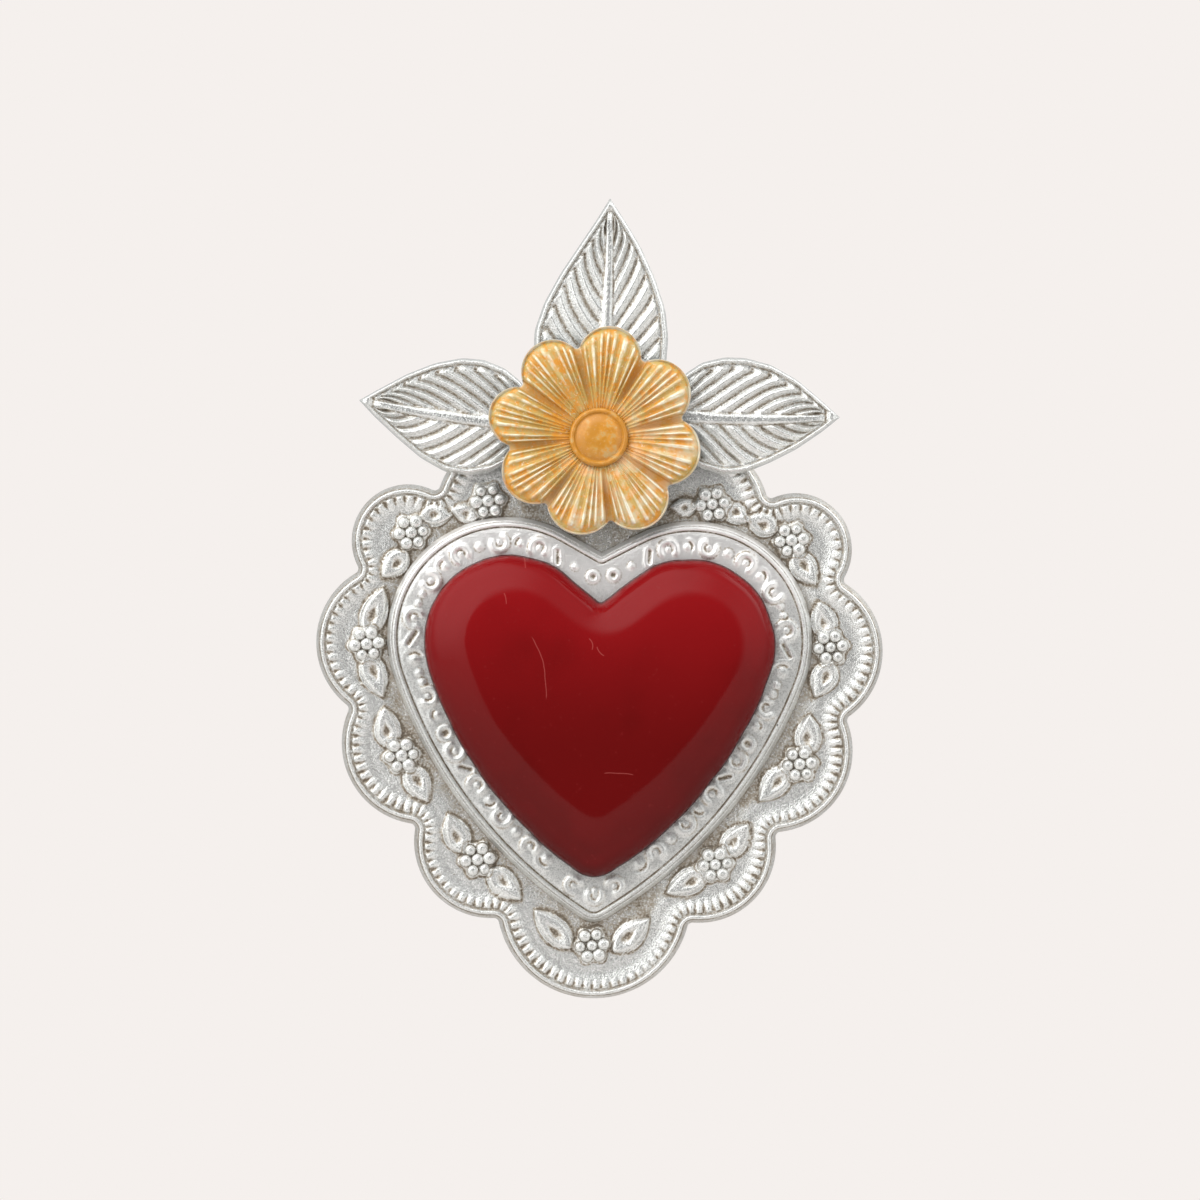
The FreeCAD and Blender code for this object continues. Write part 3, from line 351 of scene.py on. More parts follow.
def heart_ring(heart, inset, steps):
    """Points of a heart's outline moved in by inset, against the clock from the tip's right."""
    lobe, lobe_size, notch_up, side_size, tip_size, notch_size, tip_low = heart
    tip = (0, tip_low + tip_size)
    lobe_reach, tip_reach = side_size - lobe_size, side_size - tip_size
    gap = math.hypot(lobe[0], lobe[1] - tip[1])
    along = (gap ** 2 + tip_reach ** 2 - lobe_reach ** 2) / (2 * gap)
    side = polar(tip, tip_reach, direction(tip, lobe) + math.acos(along / tip_reach))
    tip_radius = max(tip_size - inset, notch_size)
    tip = (0, side[1] - math.sqrt((side_size - inset - tip_radius) ** 2 - side[0] ** 2))
    notch = (0, notch_up + notch_size)
    reach = lobe_size + notch_size
    flank = direction(notch, lobe) - math.acos(reach / math.hypot(lobe[0], lobe[1] - notch[1]))
    free = notch_size + inset
    notch_radius = max(free, notch_size / 4)
    notch = (0, notch[1] + (free - notch_radius) / math.sin(flank))
    join, tip_join = direction(side, lobe), direction(side, tip)
    side_steps, lobe_steps, flat_steps, notch_steps, tip_steps = steps
    lobe_end = np.array(polar(lobe, lobe_size - inset, flank + math.pi))
    notch_start = np.array(polar(notch, notch_radius, flank))
    right = np.concatenate([
        arc_points(side, side_size - inset, tip_join, join, side_steps),
        arc_points(lobe, lobe_size - inset, join, flank + math.pi, lobe_steps),
        lobe_end + (notch_start - lobe_end) * (np.arange(flat_steps) / flat_steps)[:, None],
        arc_points(notch, notch_radius, flank, -math.pi / 2, notch_steps),
    ])
    low = np.array([[0, notch[1] - notch_radius]])
    bottom = arc_points(tip, tip_radius, -math.pi - tip_join, tip_join, tip_steps)[1:]
    return np.concatenate([right, low, right[::-1] * [-1, 1], bottom])


# Meshes


def add_object(name, data):
    thing = bpy.data.objects.new(name, data)
    bpy.context.scene.collection.objects.link(thing)
    return thing


def tube_object(name, rings, marks):
    """A closed shell from rings of equal length, shut with a point at each end.
    marks holds one value for each ring point by name, kept as the piece's attributes."""
    count, around = rings.shape[:2]
    index = np.arange(count * around).reshape(count, around)
    beside = np.roll(index, -1, axis=1)
    quads = np.stack([index[:-1], beside[:-1], beside[1:], index[1:]], -1).reshape(-1, 4)
    points = np.concatenate([rings.reshape(-1, 3), np.stack([rings[0].mean(0), rings[-1].mean(0)])])
    first, last = count * around, count * around + 1
    tips = [(first, int(b), int(a)) for a, b in zip(index[0], beside[0])]
    tips += [(last, int(a), int(b)) for a, b in zip(index[-1], beside[-1])]
    corners = (points - points.mean(0))[np.concatenate([quads[:, :3], quads[:, [0, 2, 3]], tips])]
    volume = np.einsum("ij,ij->", corners[:, 0], np.cross(corners[:, 1], corners[:, 2]))
    if volume < 0:
        quads = quads[:, ::-1]
        tips = [tip[::-1] for tip in tips]
    mesh = bpy.data.meshes.new(name)
    mesh.from_pydata(points, [], [tuple(quad) for quad in quads.tolist()] + tips)
    mesh.update()
    mesh.shade_smooth()
    for mark, values in marks.items():
        values = np.concatenate([values.reshape(-1), [values[0].mean(), values[-1].mean()]])
        mesh.attributes.new(mark, "FLOAT", "POINT").data.foreach_set("value", values.astype(np.float32))
    return add_object(name, mesh)


def pressed_sheet(name, hub, front, back, hollow):
    """A sheet from its middle over the front and round the edge to its back, brown in the hollows."""
    rings = np.concatenate([hub, front[::-1], np.stack(back)])
    behind = np.full((len(back), front.shape[1]), 0.25)
    marks = np.concatenate([hollow[-1:], hollow[::-1], behind])
    return tube_object(name, rings, {"hollow": np.clip(marks, 0, 1)})


def finish_piece(piece, material, nodes=()):
    piece.data.materials.clear()
    piece.data.materials.append(material)
    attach(piece, "ornament")
    if nodes:
        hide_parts(*nodes)


# Nodes


class Nodes:
    """Short calls for one node tree. A value is a number, a node or a node's output."""

    def __init__(self, tree):
        self.tree = tree

    def feed(self, socket, value):
        if isinstance(value, bpy.types.Node):
            value = value.outputs[0]
        if isinstance(value, bpy.types.NodeSocket):
            self.tree.links.new(value, socket)
        else:
            socket.default_value = value

    def fill(self, node, inputs):
        for name, value in inputs.items():
            self.feed(node.inputs[name], value)

    def add(self, kind, inputs=None, **settings):
        node = self.tree.nodes.new(kind)
        for key, value in settings.items():
            setattr(node, key, value)
        self.fill(node, inputs or {})
        return node

    def math(self, operation, *values):
        return self.add("ShaderNodeMath", dict(enumerate(values)), operation=operation).outputs[0]

    def plus(self, first, second):
        return self.math("ADD", first, second)

    def minus(self, first, second):
        return self.math("SUBTRACT", first, second)

    def times(self, first, second):
        return self.math("MULTIPLY", first, second)

    def most(self, first, second):
        return self.math("MAXIMUM", first, second)

    def least(self, first, second):
        return self.math("MINIMUM", first, second)

    def limit(self, value, high=1.0):
        return self.least(self.most(value, 0.0), high)

    def vector(self, operation, *values, output=0):
        node = self.add("ShaderNodeVectorMath", dict(enumerate(values)), operation=operation)
        return node.outputs[output]

    def split(self, vector):
        return self.add("ShaderNodeSeparateXYZ", {0: vector}).outputs

    def noise(self, vector, scale, detail, roughness=0.55):
        return self.add("ShaderNodeTexNoise", {"Vector": vector, "Scale": scale, "Detail": detail,
                                               "Roughness": roughness}).outputs["Fac"]

    def span(self, value, low, high, to_low=0.0, to_high=1.0):
        inputs = {"Value": value, "From Min": low, "From Max": high, "To Min": to_low, "To Max": to_high}
        return self.add("ShaderNodeMapRange", inputs, interpolation_type="SMOOTHSTEP").outputs[0]

    def mix(self, share, first, second):
        return self.add("ShaderNodeMix", {0: share, 6: first, 7: second}, data_type="RGBA").outputs[2]

    def attribute(self, name):
        return self.add("ShaderNodeAttribute", attribute_name=name).outputs["Fac"]

    def bump(self, height, strength, distance):
        inputs = {"Strength": strength, "Distance": distance, "Height": height}
        return self.add("ShaderNodeBump", inputs).outputs[0]


# Materials


# Noises of the materials: scale, detail and roughness
BRUSHED_LINES = (1500, 3.0, 0.6)
TIN_GRAIN = (3000, 2.0, 0.7)
TIN_CLOUDS = (240, 4.0, 0.6)
TIN_SPECKS = (1300, 2.0, 0.5)
TIN_GRIT = (900, 3.0, 0.65)
TIN_FILM = (2200, 2.0, 0.6)
ENAMEL_DRIFT = (38, 3.0, 0.5)
ENAMEL_DUST = (900, 2.0, 0.5)
SCRATCH_WAVE = (120, 2.0)
COAT_RIPPLE = (90, 2.0)
PAINT_GRAIN = (1500, 4.0, 0.65)
PAINT_CLOUDS = (170, 4.0, 0.6)
PAINT_PATCHES = (320, 3.0, 0.55)
PAINT_RUST = (800, 5.0, 0.7)
WIRE_GRAIN = (3000, 3.0, 0.6)
WIRE_CLOUDS = (500, 3.0, 0.6)
FLOOR_GRAIN = (60, 3.0)
CARD_GRAIN = (30, 2.0)

# Colours of small marks, wire, solder and card, and the floor's shares of the backdrop
PINHOLE = (0.012, 0.010, 0.009)
DUST = (0.20, 0.02, 0.02)
# Painted shade along the enamelled dome's steep rim
PAINTED_RIM_SHADE = (0.030, 0.003, 0.004)
SCRATCH = (0.42, 0.10, 0.09)
RING_WIRE = (0.62, 0.61, 0.59)
SOLDER = (0.50, 0.50, 0.49)
CARD_BLACKS = ((0.010, 0.010, 0.011), (0.016, 0.015, 0.015))
FLOOR_SHARES = (0.50, 0.54)

# Heights in metres over which painted light brightens the border's tin upwards and painted shade darkens it
# downwards, then the painted light's strength
PAINTED_LIGHT_FROM, PAINTED_LIGHT_TO = -0.036, -0.024
PAINTED_SHADE_FROM, PAINTED_SHADE_TO = -0.026, -0.045
PAINTED_LIGHT_STRENGTH = 3.5

# Patina of the plain strap, which has no hollows
STRAP_HOLLOW = 0.12


def new_material(name):
    material = bpy.data.materials.new(name)
    material.use_nodes = True
    nodes = Nodes(material.node_tree)
    shader = material.node_tree.nodes["Principled BSDF"]
    place = nodes.add("ShaderNodeTexCoord").outputs["Object"]
    return material, nodes, shader, place


def colour(values, share=1.0):
    return tuple(value * share for value in values) + (1.0,)


def tin_material(name, looks, grain=0.55, hollow=None, brushed=0.0, painted_light_gain=0.0, satin=0.22):
    """Satin tinplate: fine grain, brown patina in the hollows, a few black pinholes, and where asked painted
    light towards the top and painted shade towards the bottom.
    """
    material, nodes, shader, place = new_material(name)
    fine, broad, speck, grit, film = (
        nodes.noise(place, *kind) for kind in (TIN_GRAIN, TIN_CLOUDS, TIN_SPECKS, TIN_GRIT, TIN_FILM))
    stretch = nodes.add("ShaderNodeMapping", {
        "Vector": place, "Rotation": (0, 0.15, 0), "Scale": (0.22, 1.0, 1.7)})
    lines = nodes.noise(stretch, *BRUSHED_LINES)

    depth = nodes.attribute("hollow") if hollow is None else hollow
    stain = nodes.times(depth, nodes.span(broad, 0.25, 0.7, 0.75, 1.5))
    stain = nodes.plus(stain, nodes.span(speck, 0.62, 0.76, 0.0, 0.24))
    stain = nodes.limit(nodes.times(stain, nodes.span(film, 0.36, 0.60, 0.55, 1.35)))

    grains = nodes.plus(nodes.times(fine, 0.8), nodes.times(grit, 0.2))
    base = nodes.mix(nodes.span(grains, 0.40, 0.54), colour(looks.tin_shade), colour(looks.tin))
    # Painted light: the tin is lightened towards the top by height, and painted shade darkens it towards the
    # bottom
    height = nodes.split(place)["Z"]
    high = nodes.span(height, PAINTED_LIGHT_FROM, PAINTED_LIGHT_TO, 0.0, PAINTED_LIGHT_STRENGTH * painted_light_gain)
    base = nodes.mix(high, base, colour(looks.tin_painted_light))
    low = nodes.span(height, PAINTED_SHADE_FROM, PAINTED_SHADE_TO, 0.0, painted_light_gain)
    base = nodes.mix(low, base, colour(looks.tin_shade, 0.8))
    base = nodes.mix(nodes.span(stain, 0.05, 0.75), base, colour(looks.patina))
    base = nodes.mix(nodes.span(stain, 0.70, 1.0, 0.0, 0.75), base, colour(looks.patina_dark))

    holes = nodes.add("ShaderNodeTexVoronoi", {"Vector": place, "Scale": 150, "Randomness": 1.0})
    chance = nodes.add("ShaderNodeSeparateColor", {0: holes.outputs["Color"]})
    rare = nodes.math("GREATER_THAN", chance, 0.93)
    pin = nodes.times(nodes.span(holes.outputs["Distance"], 0.030, 0.045, 1.0, 0.0), rare)
    relief = nodes.plus(fine, nodes.times(broad, 0.9))
    relief = nodes.plus(nodes.plus(relief, nodes.times(grit, 0.7)), nodes.times(lines, brushed))
    nodes.fill(shader, {
        "Base Color": nodes.mix(pin, base, colour(PINHOLE)), "Metallic": 0.76,
        "Roughness": nodes.span(stain, 0.0, 1.0, satin, 0.50),
        "Normal": nodes.bump(nodes.minus(relief, pin), grain, 0.00022)})
    return material


def scratch_mark(nodes, place, wave, start, end, bow):
    """Share of a fine scratch between two spots given across and up in mm, bent by its bow."""
    first, last = (Vector(in_row(*spot, 0)) for spot in (start, end))
    first.y = last.y = 0
    along = last - first
    beside = Vector((along.z, 0, -along.x)).normalized()
    away = nodes.vector("SUBTRACT", nodes.vector("MULTIPLY", place, (1, 0, 1)), first)
    share, aside = (nodes.vector("DOT_PRODUCT", away, toward, output="Value")
                    for toward in (along / along.length_squared, beside))
    shift = nodes.times(nodes.minus(wave, 0.5), 0.0014)
    ends = nodes.math("ABSOLUTE", nodes.minus(share, 0.5))
    bend = nodes.times(nodes.minus(0.25, nodes.times(ends, ends)), bow * 0.004)
    reach = nodes.math("ABSOLUTE", nodes.plus(nodes.plus(aside, shift), bend))
    return nodes.times(nodes.span(reach, 0.00003, 0.00016, 1.0, 0.0), nodes.span(ends, 0.5, 0.42))


def enamel_material(looks):
    """Deep red gloss over tin: slow colour drift, painted shade towards the bottom and on the steep rim, dust
    grains, scratches and a slightly wavy coat.
    """
    material, nodes, shader, place = new_material("red_enamel")
    dust = nodes.noise(place, *ENAMEL_DUST)
    wave = nodes.noise(place, *SCRATCH_WAVE)
    drift = nodes.span(nodes.noise(place, *ENAMEL_DRIFT), 0.45, 0.8, 0.0, 0.5)
    # Painted shade: the red darkens towards the bottom of the heart, on top of the random drift
    painted_low_shade = nodes.span(nodes.split(place)["Z"], -0.026, -0.066)
    share = nodes.least(nodes.plus(nodes.times(painted_low_shade, 0.9), drift), 1.0)
    base = nodes.mix(share, colour(looks.enamel), colour(looks.enamel_shade))
    base = nodes.mix(nodes.span(dust, 0.66, 0.80, 0.0, 0.25), base, colour(DUST))
    # Painted shade: darkens the dome's steep rim
    edge = nodes.span(nodes.attribute("inset"), 0.15, 0.7, 0.75, 0.0)
    base = nodes.mix(edge, base, colour(PAINTED_RIM_SHADE))
    marks = 0.0
    for start, end, bow in SCRATCHES:
        marks = nodes.most(marks, scratch_mark(nodes, place, wave, start, end, bow))
    ripple = nodes.plus(nodes.noise(place, *COAT_RIPPLE), nodes.times(dust, 0.05))
    coat = nodes.bump(ripple, 0.25, 0.0002)
    nodes.fill(shader, {
        "Base Color": nodes.mix(nodes.times(marks, 0.36), base, colour(SCRATCH)), "Roughness": 0.42,
        "Specular IOR Level": 0.0, "Coat Weight": 0.34, "Coat Roughness": 0.08, "Coat IOR": 1.5,
        "Normal": coat, "Coat Normal": coat})
    return material


def ochre_material(looks, name, ridged):
    """Ochre paint rubbed over tin: orange in the grooves, pearly on the ridges as worn paint and painted
    highlight, more towards the lower right, painted shade in the folds, bare at the sides.
    """
    material, nodes, shader, place = new_material(name)
    fine, broad, patch, rusty = (
        nodes.noise(place, *kind) for kind in (PAINT_GRAIN, PAINT_CLOUDS, PAINT_PATCHES, PAINT_RUST))
    warm = nodes.span(broad, 0.50, 0.66) if ridged else nodes.span(broad, 0.32, 0.55)
    base = nodes.mix(warm, colour(looks.ochre), colour(looks.ochre_orange))
    base = nodes.mix(nodes.span(patch, 0.50, 0.62, 0.0, 0.75), base, colour(looks.ochre_green))
    base = nodes.mix(nodes.span(rusty, 0.49, 0.58, 0.0, 0.90), base, colour(looks.ochre_orange))
    flecks = nodes.span(fine, 0.58, 0.66, 0.0, 0.60)
    if ridged:
        ridge, bare = nodes.attribute("ridge"), nodes.attribute("bare")
        fold = nodes.times(nodes.attribute("fold"), 0.45)
        groove = nodes.times(nodes.span(ridge, 0.0, 0.30, 1.0, 0.0), nodes.span(broad, 0.40, 0.60, 0.15, 1.0))
        base = nodes.mix(nodes.times(groove, 0.95), base, colour(looks.ochre_orange))
        # Painted highlight: more pearl towards the lower right, where the ridges catch the light; the rest of
        # the pearl is worn paint
        middle = in_row(*FLOWER_MIDDLE, 0)
        parts = nodes.split(place)
        lean = nodes.minus(nodes.minus(parts["X"], middle[0] - middle[2]), parts["Z"])
        wear_and_painted_sheen = nodes.span(lean, -0.010, 0.018, 0.0, 0.30)
        sheen = nodes.plus(nodes.span(patch, 0.40, 0.60, 0.10, 0.80), wear_and_painted_sheen)
        pearl_share = nodes.times(nodes.span(ridge, 0.50, 0.95), sheen)
        pearl_share = nodes.most(pearl_share, nodes.times(wear_and_painted_sheen, nodes.span(patch, 0.40, 0.60)))
        pearl_share = nodes.most(pearl_share, nodes.times(flecks, 0.7))
        base = nodes.mix(pearl_share, base, colour(looks.pearl))
        # Painted shade in the folds between the petals
        base = nodes.mix(fold, base, colour(looks.ochre_painted_fold_shade))
        base = nodes.mix(bare, base, colour(looks.tin_shade))
        metal = nodes.most(nodes.times(pearl_share, 0.30), nodes.times(bare, 0.7))
    else:
        pearl_share = nodes.times(flecks, 0.12)
        base = nodes.mix(nodes.span(patch, 0.44, 0.60, 0.95, 0.25), base, colour(looks.button))
        base = nodes.mix(pearl_share, base, colour(looks.pearl))
        metal = nodes.times(pearl_share, 0.30)
    nodes.fill(shader, {
        "Base Color": base, "Metallic": metal, "Roughness": nodes.span(pearl_share, 0.0, 1.0, 0.34, 0.18),
        "Coat Weight": 0.40, "Coat Roughness": 0.09, "Normal": nodes.bump(fine, 0.4, 0.00012)})
    return material


def wire_material(name, tint, roughness, metallic):
    """Drawn wire or dull solder with fine streaks."""
    material, nodes, shader, place = new_material(name)
    fine, broad = nodes.noise(place, *WIRE_GRAIN), nodes.noise(place, *WIRE_CLOUDS)
    nodes.fill(shader, {
        "Base Color": nodes.mix(nodes.span(broad, 0.35, 0.65), colour(tint, 0.62), colour(tint)),
        "Metallic": metallic, "Roughness": nodes.span(fine, 0.3, 0.7, roughness, roughness + 0.15),
        "Normal": nodes.bump(fine, 0.3, 0.00006)})
    return material


# Geometry Nodes


def new_tree(name, inputs):
    """A geometry tree with a geometry input and output and named number inputs."""
    tree = bpy.data.node_groups.new(name, "GeometryNodeTree")
    for label, kind in [("Geometry", "NodeSocketGeometry")] + inputs:
        tree.interface.new_socket(label, in_out="INPUT", socket_type=kind)
    tree.interface.new_socket("Geometry", in_out="OUTPUT", socket_type="NodeSocketGeometry")
    nodes = Nodes(tree)
    return tree, nodes, nodes.add("NodeGroupInput").outputs


def end_tree(nodes, geometry, material):
    real = nodes.add("GeometryNodeRealizeInstances", {0: geometry})
    painted = nodes.add("GeometryNodeSetMaterial", {"Geometry": real, "Material": material})
    nodes.add("NodeGroupOutput", {0: painted})


def bake_tree(name, tree, mesh, values):
    """Runs the tree on a carrier mesh and keeps the result as a plain mesh object."""
    carrier = add_object(name + "_carrier", mesh)
    modifier = carrier.modifiers.new(name, "NODES")
    modifier.node_group = tree
    for item in tree.interface.items_tree:
        if item.item_type == "SOCKET" and item.in_out == "INPUT" and item.name in values:
            modifier[item.identifier] = values[item.name]
    graph = bpy.context.evaluated_depsgraph_get()
    result = bpy.data.meshes.new_from_object(carrier.evaluated_get(graph))
    carrier.modifiers.remove(modifier)
    bpy.data.objects.remove(carrier)
    result.name = name
    result.shade_smooth()
    return add_object(name, result)


def point_mesh(name, points):
    mesh = bpy.data.meshes.new(name)
    mesh.from_pydata([tuple(point) for point in points], [], [])
    return mesh


def berry_tree():
    """Small domes with a pricked middle, one on each point, facing the viewer's side."""
    tree, nodes, entry = new_tree("pricked_domes", [
        ("Radius", "NodeSocketFloat"), ("Rise", "NodeSocketFloat"), ("Prick", "NodeSocketFloat"),
        ("Seed", "NodeSocketInt"), ("Material", "NodeSocketMaterial")])
    ball = nodes.add("GeometryNodeMeshUVSphere", {"Segments": 18, "Rings": 14, "Radius": 1.0})
    turned = nodes.add("GeometryNodeTransform", {"Geometry": ball, "Rotation": (math.pi / 2, 0, 0)})
    x, y, z = nodes.split(nodes.add("GeometryNodeInputPosition"))
    square = nodes.plus(nodes.times(x, x), nodes.times(z, z))
    fall = nodes.math("EXPONENT", nodes.times(square, -34.0))
    prick = nodes.times(nodes.times(fall, entry["Prick"]), nodes.math("LESS_THAN", y, 0.0))
    flattened = nodes.times(nodes.most(y, 0.0), -0.75)
    push = nodes.add("ShaderNodeCombineXYZ", {1: nodes.plus(prick, flattened)})
    shaped = nodes.add("GeometryNodeSetPosition", {"Geometry": turned, "Offset": push})
    edge = nodes.minus(1.0, nodes.times(y, -1.4))
    dark = nodes.limit(nodes.most(nodes.times(fall, 0.20), edge), 0.9)
    stored = nodes.add("GeometryNodeStoreNamedAttribute", data_type="FLOAT", domain="POINT",
                       inputs={"Geometry": shaped, "Name": "hollow", "Value": dark})
    chance = nodes.add("FunctionNodeRandomValue", data_type="FLOAT",
                       inputs={"Min": 0.86, "Max": 1.10, "Seed": entry["Seed"]})
    wide = nodes.times(entry["Radius"], chance.outputs[1])
    scale = nodes.add("ShaderNodeCombineXYZ", {0: wide, 1: entry["Rise"], 2: wide})
    put = nodes.add("GeometryNodeInstanceOnPoints",
                    {"Points": entry["Geometry"], "Instance": stored, "Scale": scale})
    end_tree(nodes, put, entry["Material"])
    return tree


def ring_tree():
    """A wire bent round a circle."""
    tree, nodes, entry = new_tree("bent_wire", [
        ("Ring Radius", "NodeSocketFloat"), ("Wire Radius", "NodeSocketFloat"),
        ("Tilt", "NodeSocketFloat"), ("Middle", "NodeSocketVector"), ("Material", "NodeSocketMaterial")])
    path, section = (
        nodes.add("GeometryNodeCurvePrimitiveCircle", {"Resolution": steps, "Radius": entry[radius]})
        for steps, radius in ((96, "Ring Radius"), (20, "Wire Radius")))
    wire = nodes.add("GeometryNodeCurveToMesh", {"Curve": path, "Profile Curve": section})
    turn = nodes.add("ShaderNodeCombineXYZ", {0: entry["Tilt"]})
    put = nodes.add("GeometryNodeTransform", {
        "Geometry": wire, "Translation": entry["Middle"], "Rotation": turn})
    end_tree(nodes, put, entry["Material"])
    return tree


# Reliefs


def sprig_relief(across, up):
    """Height of the embossed sprigs over the field, and how brown their outlines are, in mm."""
    height, line = np.zeros_like(across), np.zeros_like(across)
    for middle, *leaves in SPRIGS:
        for leaf, tip in zip(leaves[::2], leaves[1::2]):
            out_across, out_up = tip[0] - leaf[0], tip[1] - leaf[1]
            reach = math.hypot(out_across, out_up)
            along, aside = local_axes(across, up, leaf, out_across / reach, out_up / reach)
            back = reach * 0.6 + 1.4
            share = np.clip((along + back) / (back + reach + 0.5), 0.001, 0.999)
            half = 3.05 * min(1, (reach + back) / 8.0) * np.sin(math.pi * share ** 0.84) ** 0.74 + 0.02
            edge = np.abs(aside) / half
            inside = (along > -back) & (along < reach + 0.5)
            dome = np.where(inside, np.sqrt(np.clip(1 - edge ** 2.4, 0, 1)), 0)
            wedge = 0.48 + 0.62 * smooth(reach * 0.35, -reach * 0.25, along)
            pit = 0.80 * bump(aside - 0.30, wedge) * bump(along + reach * 0.02, reach * 0.32) * (dome > 0.2)
            crease = 0.50 * bump((edge - 0.80) * half, 0.24)
            height = np.maximum(height, np.where(dome > 0, 1.2 * dome ** 0.7 - pit - crease, 0))
            rim = 0.8 * bump((edge - 1.06) * half, 0.28) * (along > -back - 0.4) * (along < reach + 0.9)
            line = np.maximum(np.maximum(line, rim), 1.15 * pit)
        x, z = middle
        angle = np.arctan2(up - z, across - x)
        outside = np.hypot(across - x, up - z) - 4.15 - 0.42 * np.cos(6 * angle - 0.84)
        height = np.maximum(height, 0.55 * smooth(0, 0.7, -outside))
        line = np.maximum(line * smooth(-0.1, 0.3, outside), 0.8 * bump(outside - 0.12, 0.26))
        line = np.maximum(line, 0.45 * smooth(0.2, -0.3, outside + 0.4))
    return height, line


def berry_points():
    """Seven berries to a sprig: one in the middle and six round it."""
    points = []
    for middle, *_ in SPRIGS:
        points.append(middle)
        points += [polar(middle, BERRY_RING, math.radians(60 * turn + BERRY_TURN)) for turn in range(6)]
    return np.array(points)


def plate_relief(across, up, inset, phase, toward):
    """Depth of the plate's front and its brown hollows, with painted shade on the rim's outer slope.
    inset runs from the edge over the rim and field, phase counts flutes, and toward is the
    share of the way from the rim to the heart's border."""
    uneven = wobble(across, up, 9, 3)
    flute = 0.5 + 0.5 * np.cos(2 * math.pi * phase)
    strength = smooth(2.45, 2.95, inset) * (1 - smooth(3.5 + 0.6 * uneven, 5.3 + 0.6 * uneven, inset))
    strength = strength * (0.86 + 0.14 * uneven)
    sprigs, line = sprig_relief(across, up)
    clear = smooth(2.7, 3.5, inset)
    bare = 1 - smooth(0.0, 0.25, sprigs)
    strength = strength * (1 - clear * (1 - bare))
    depth = follow(RIM_PROFILE, inset) + strength * (0.66 * flute ** 0.65 - 0.26)
    depth = depth - 0.42 * smooth(0.05, 0.85, toward) * (1 - 0.15 * uneven)
    depth = depth + sprigs * clear
    outer = 1 - smooth(3.0, 4.8, inset)
    hollow = strength * (1 - flute) ** 1.6 * (0.10 + 0.70 * outer)
    # The last term is painted shade on the rim's outer slope, carried in the hollow patina
    hollow += 0.50 * bump(inset - 2.36, 0.24) + 0.80 * bump(inset - 1.14, 0.13) + 0.30 * (inset < 0.95)
    film = 0.52 * smooth(0.12, 0.70, toward) * bare * (0.75 + 0.25 * wobble(across, up, 2.2, 11))
    hollow += clear * (film + 0.6 * line) + 1.3 * sunken(depth, 3) * (inset > 2.6)
    return depth, hollow


def border_marks():
    """Places of the stamped marks at the tip and along both sides of the heart border."""
    path = heart_ring(FRAME_HEART, MARK_INSET, BORDER_STEPS)[:sum(BORDER_STEPS[:4])][::-1]
    lengths = np.concatenate([[0], np.cumsum(np.hypot(*np.diff(path, axis=0).T))])
    marks = list(TIP_MARKS)
    for side in (1, -1):
        for index, (kind, size, turn) in enumerate(BORDER_MARKS):
            at = MARK_START + MARK_PITCH * index + MARK_STAGGER * side
            here, ahead = ([np.interp(spot, lengths, path[:, axis]) for axis in (0, 1)]
                           for spot in (at, at + 0.5))
            heading = direction(here, ahead)
            for shift in (-TWIN_SPREAD, TWIN_SPREAD) if kind == "dots" else (0,):
                x, z = polar(here, shift, heading)
                marks.append((kind, side * x, z, size, 90 + side * (math.degrees(heading) + turn - 90)))
    return marks


def mark_relief(across, up):
    """Stamped scrolls, beads, slots and dots of the border: height and brown lines, in mm."""
    height, line = np.zeros_like(across), np.zeros_like(across)
    for kind, x, z, size, turn in border_marks():
        distance = np.hypot(across - x, up - z)
        angle = (np.degrees(np.arctan2(up - z, across - x)) - turn + 180) % 360 - 180
        away = np.abs(angle)
        turn = math.radians(turn)
        along, aside = local_axes(across, up, (x, z), math.cos(turn), math.sin(turn))
        if kind in ("dot", "dots"):
            height += 0.48 * bump(distance, size * 0.85)
            line += 0.42 * bump(distance - size * 1.3, 0.25) * smooth(-160, 60, angle)
        elif kind == "pit":
            height += 0.34 * bump(distance - size, 0.45) - 0.50 * bump(distance, size * 0.5)
            line += 0.85 * bump(distance, size * 0.5) + 0.3 * bump(distance - size - 0.8, 0.3)
        elif kind == "bead":
            offset = np.hypot(along + size * 0.25, aside)
            groove = 0.26 * bump(offset - size * 1.2, 0.35) * smooth(80, 40, away)
            lip = 0.22 * bump(offset - size * 1.9, 0.4) * smooth(100, 50, away)
            height += 0.50 * bump(offset, size * 0.8) - groove + lip
            line += 0.75 * bump(offset - size * 1.15, 0.3) * smooth(95, 45, away)
        elif kind == "scroll":
            arc = smooth(160, 110, away)
            spiral = size * (1.0 + 0.10 * angle / 180)
            height += 0.60 * bump(distance - spiral, 0.66) * arc + 0.30 * bump(distance, 0.62)
            height -= 0.16 * bump(distance - spiral * 0.5, 0.35) * arc
            line += 0.62 * bump(distance - spiral * 0.5, 0.3) * arc * smooth(140, -60, angle)
            line += 0.45 * bump(distance - spiral - 0.75, 0.28) * arc * smooth(-120, 60, angle)
        elif kind == "slot":
            reach = np.hypot(np.maximum(np.abs(along) - size, 0), aside)
            height += 0.24 * bump(reach - 0.85, 0.45) - 0.45 * bump(reach, 0.42)
            line += 0.80 * bump(reach, 0.36)
    return height, np.minimum(line, 0.9)


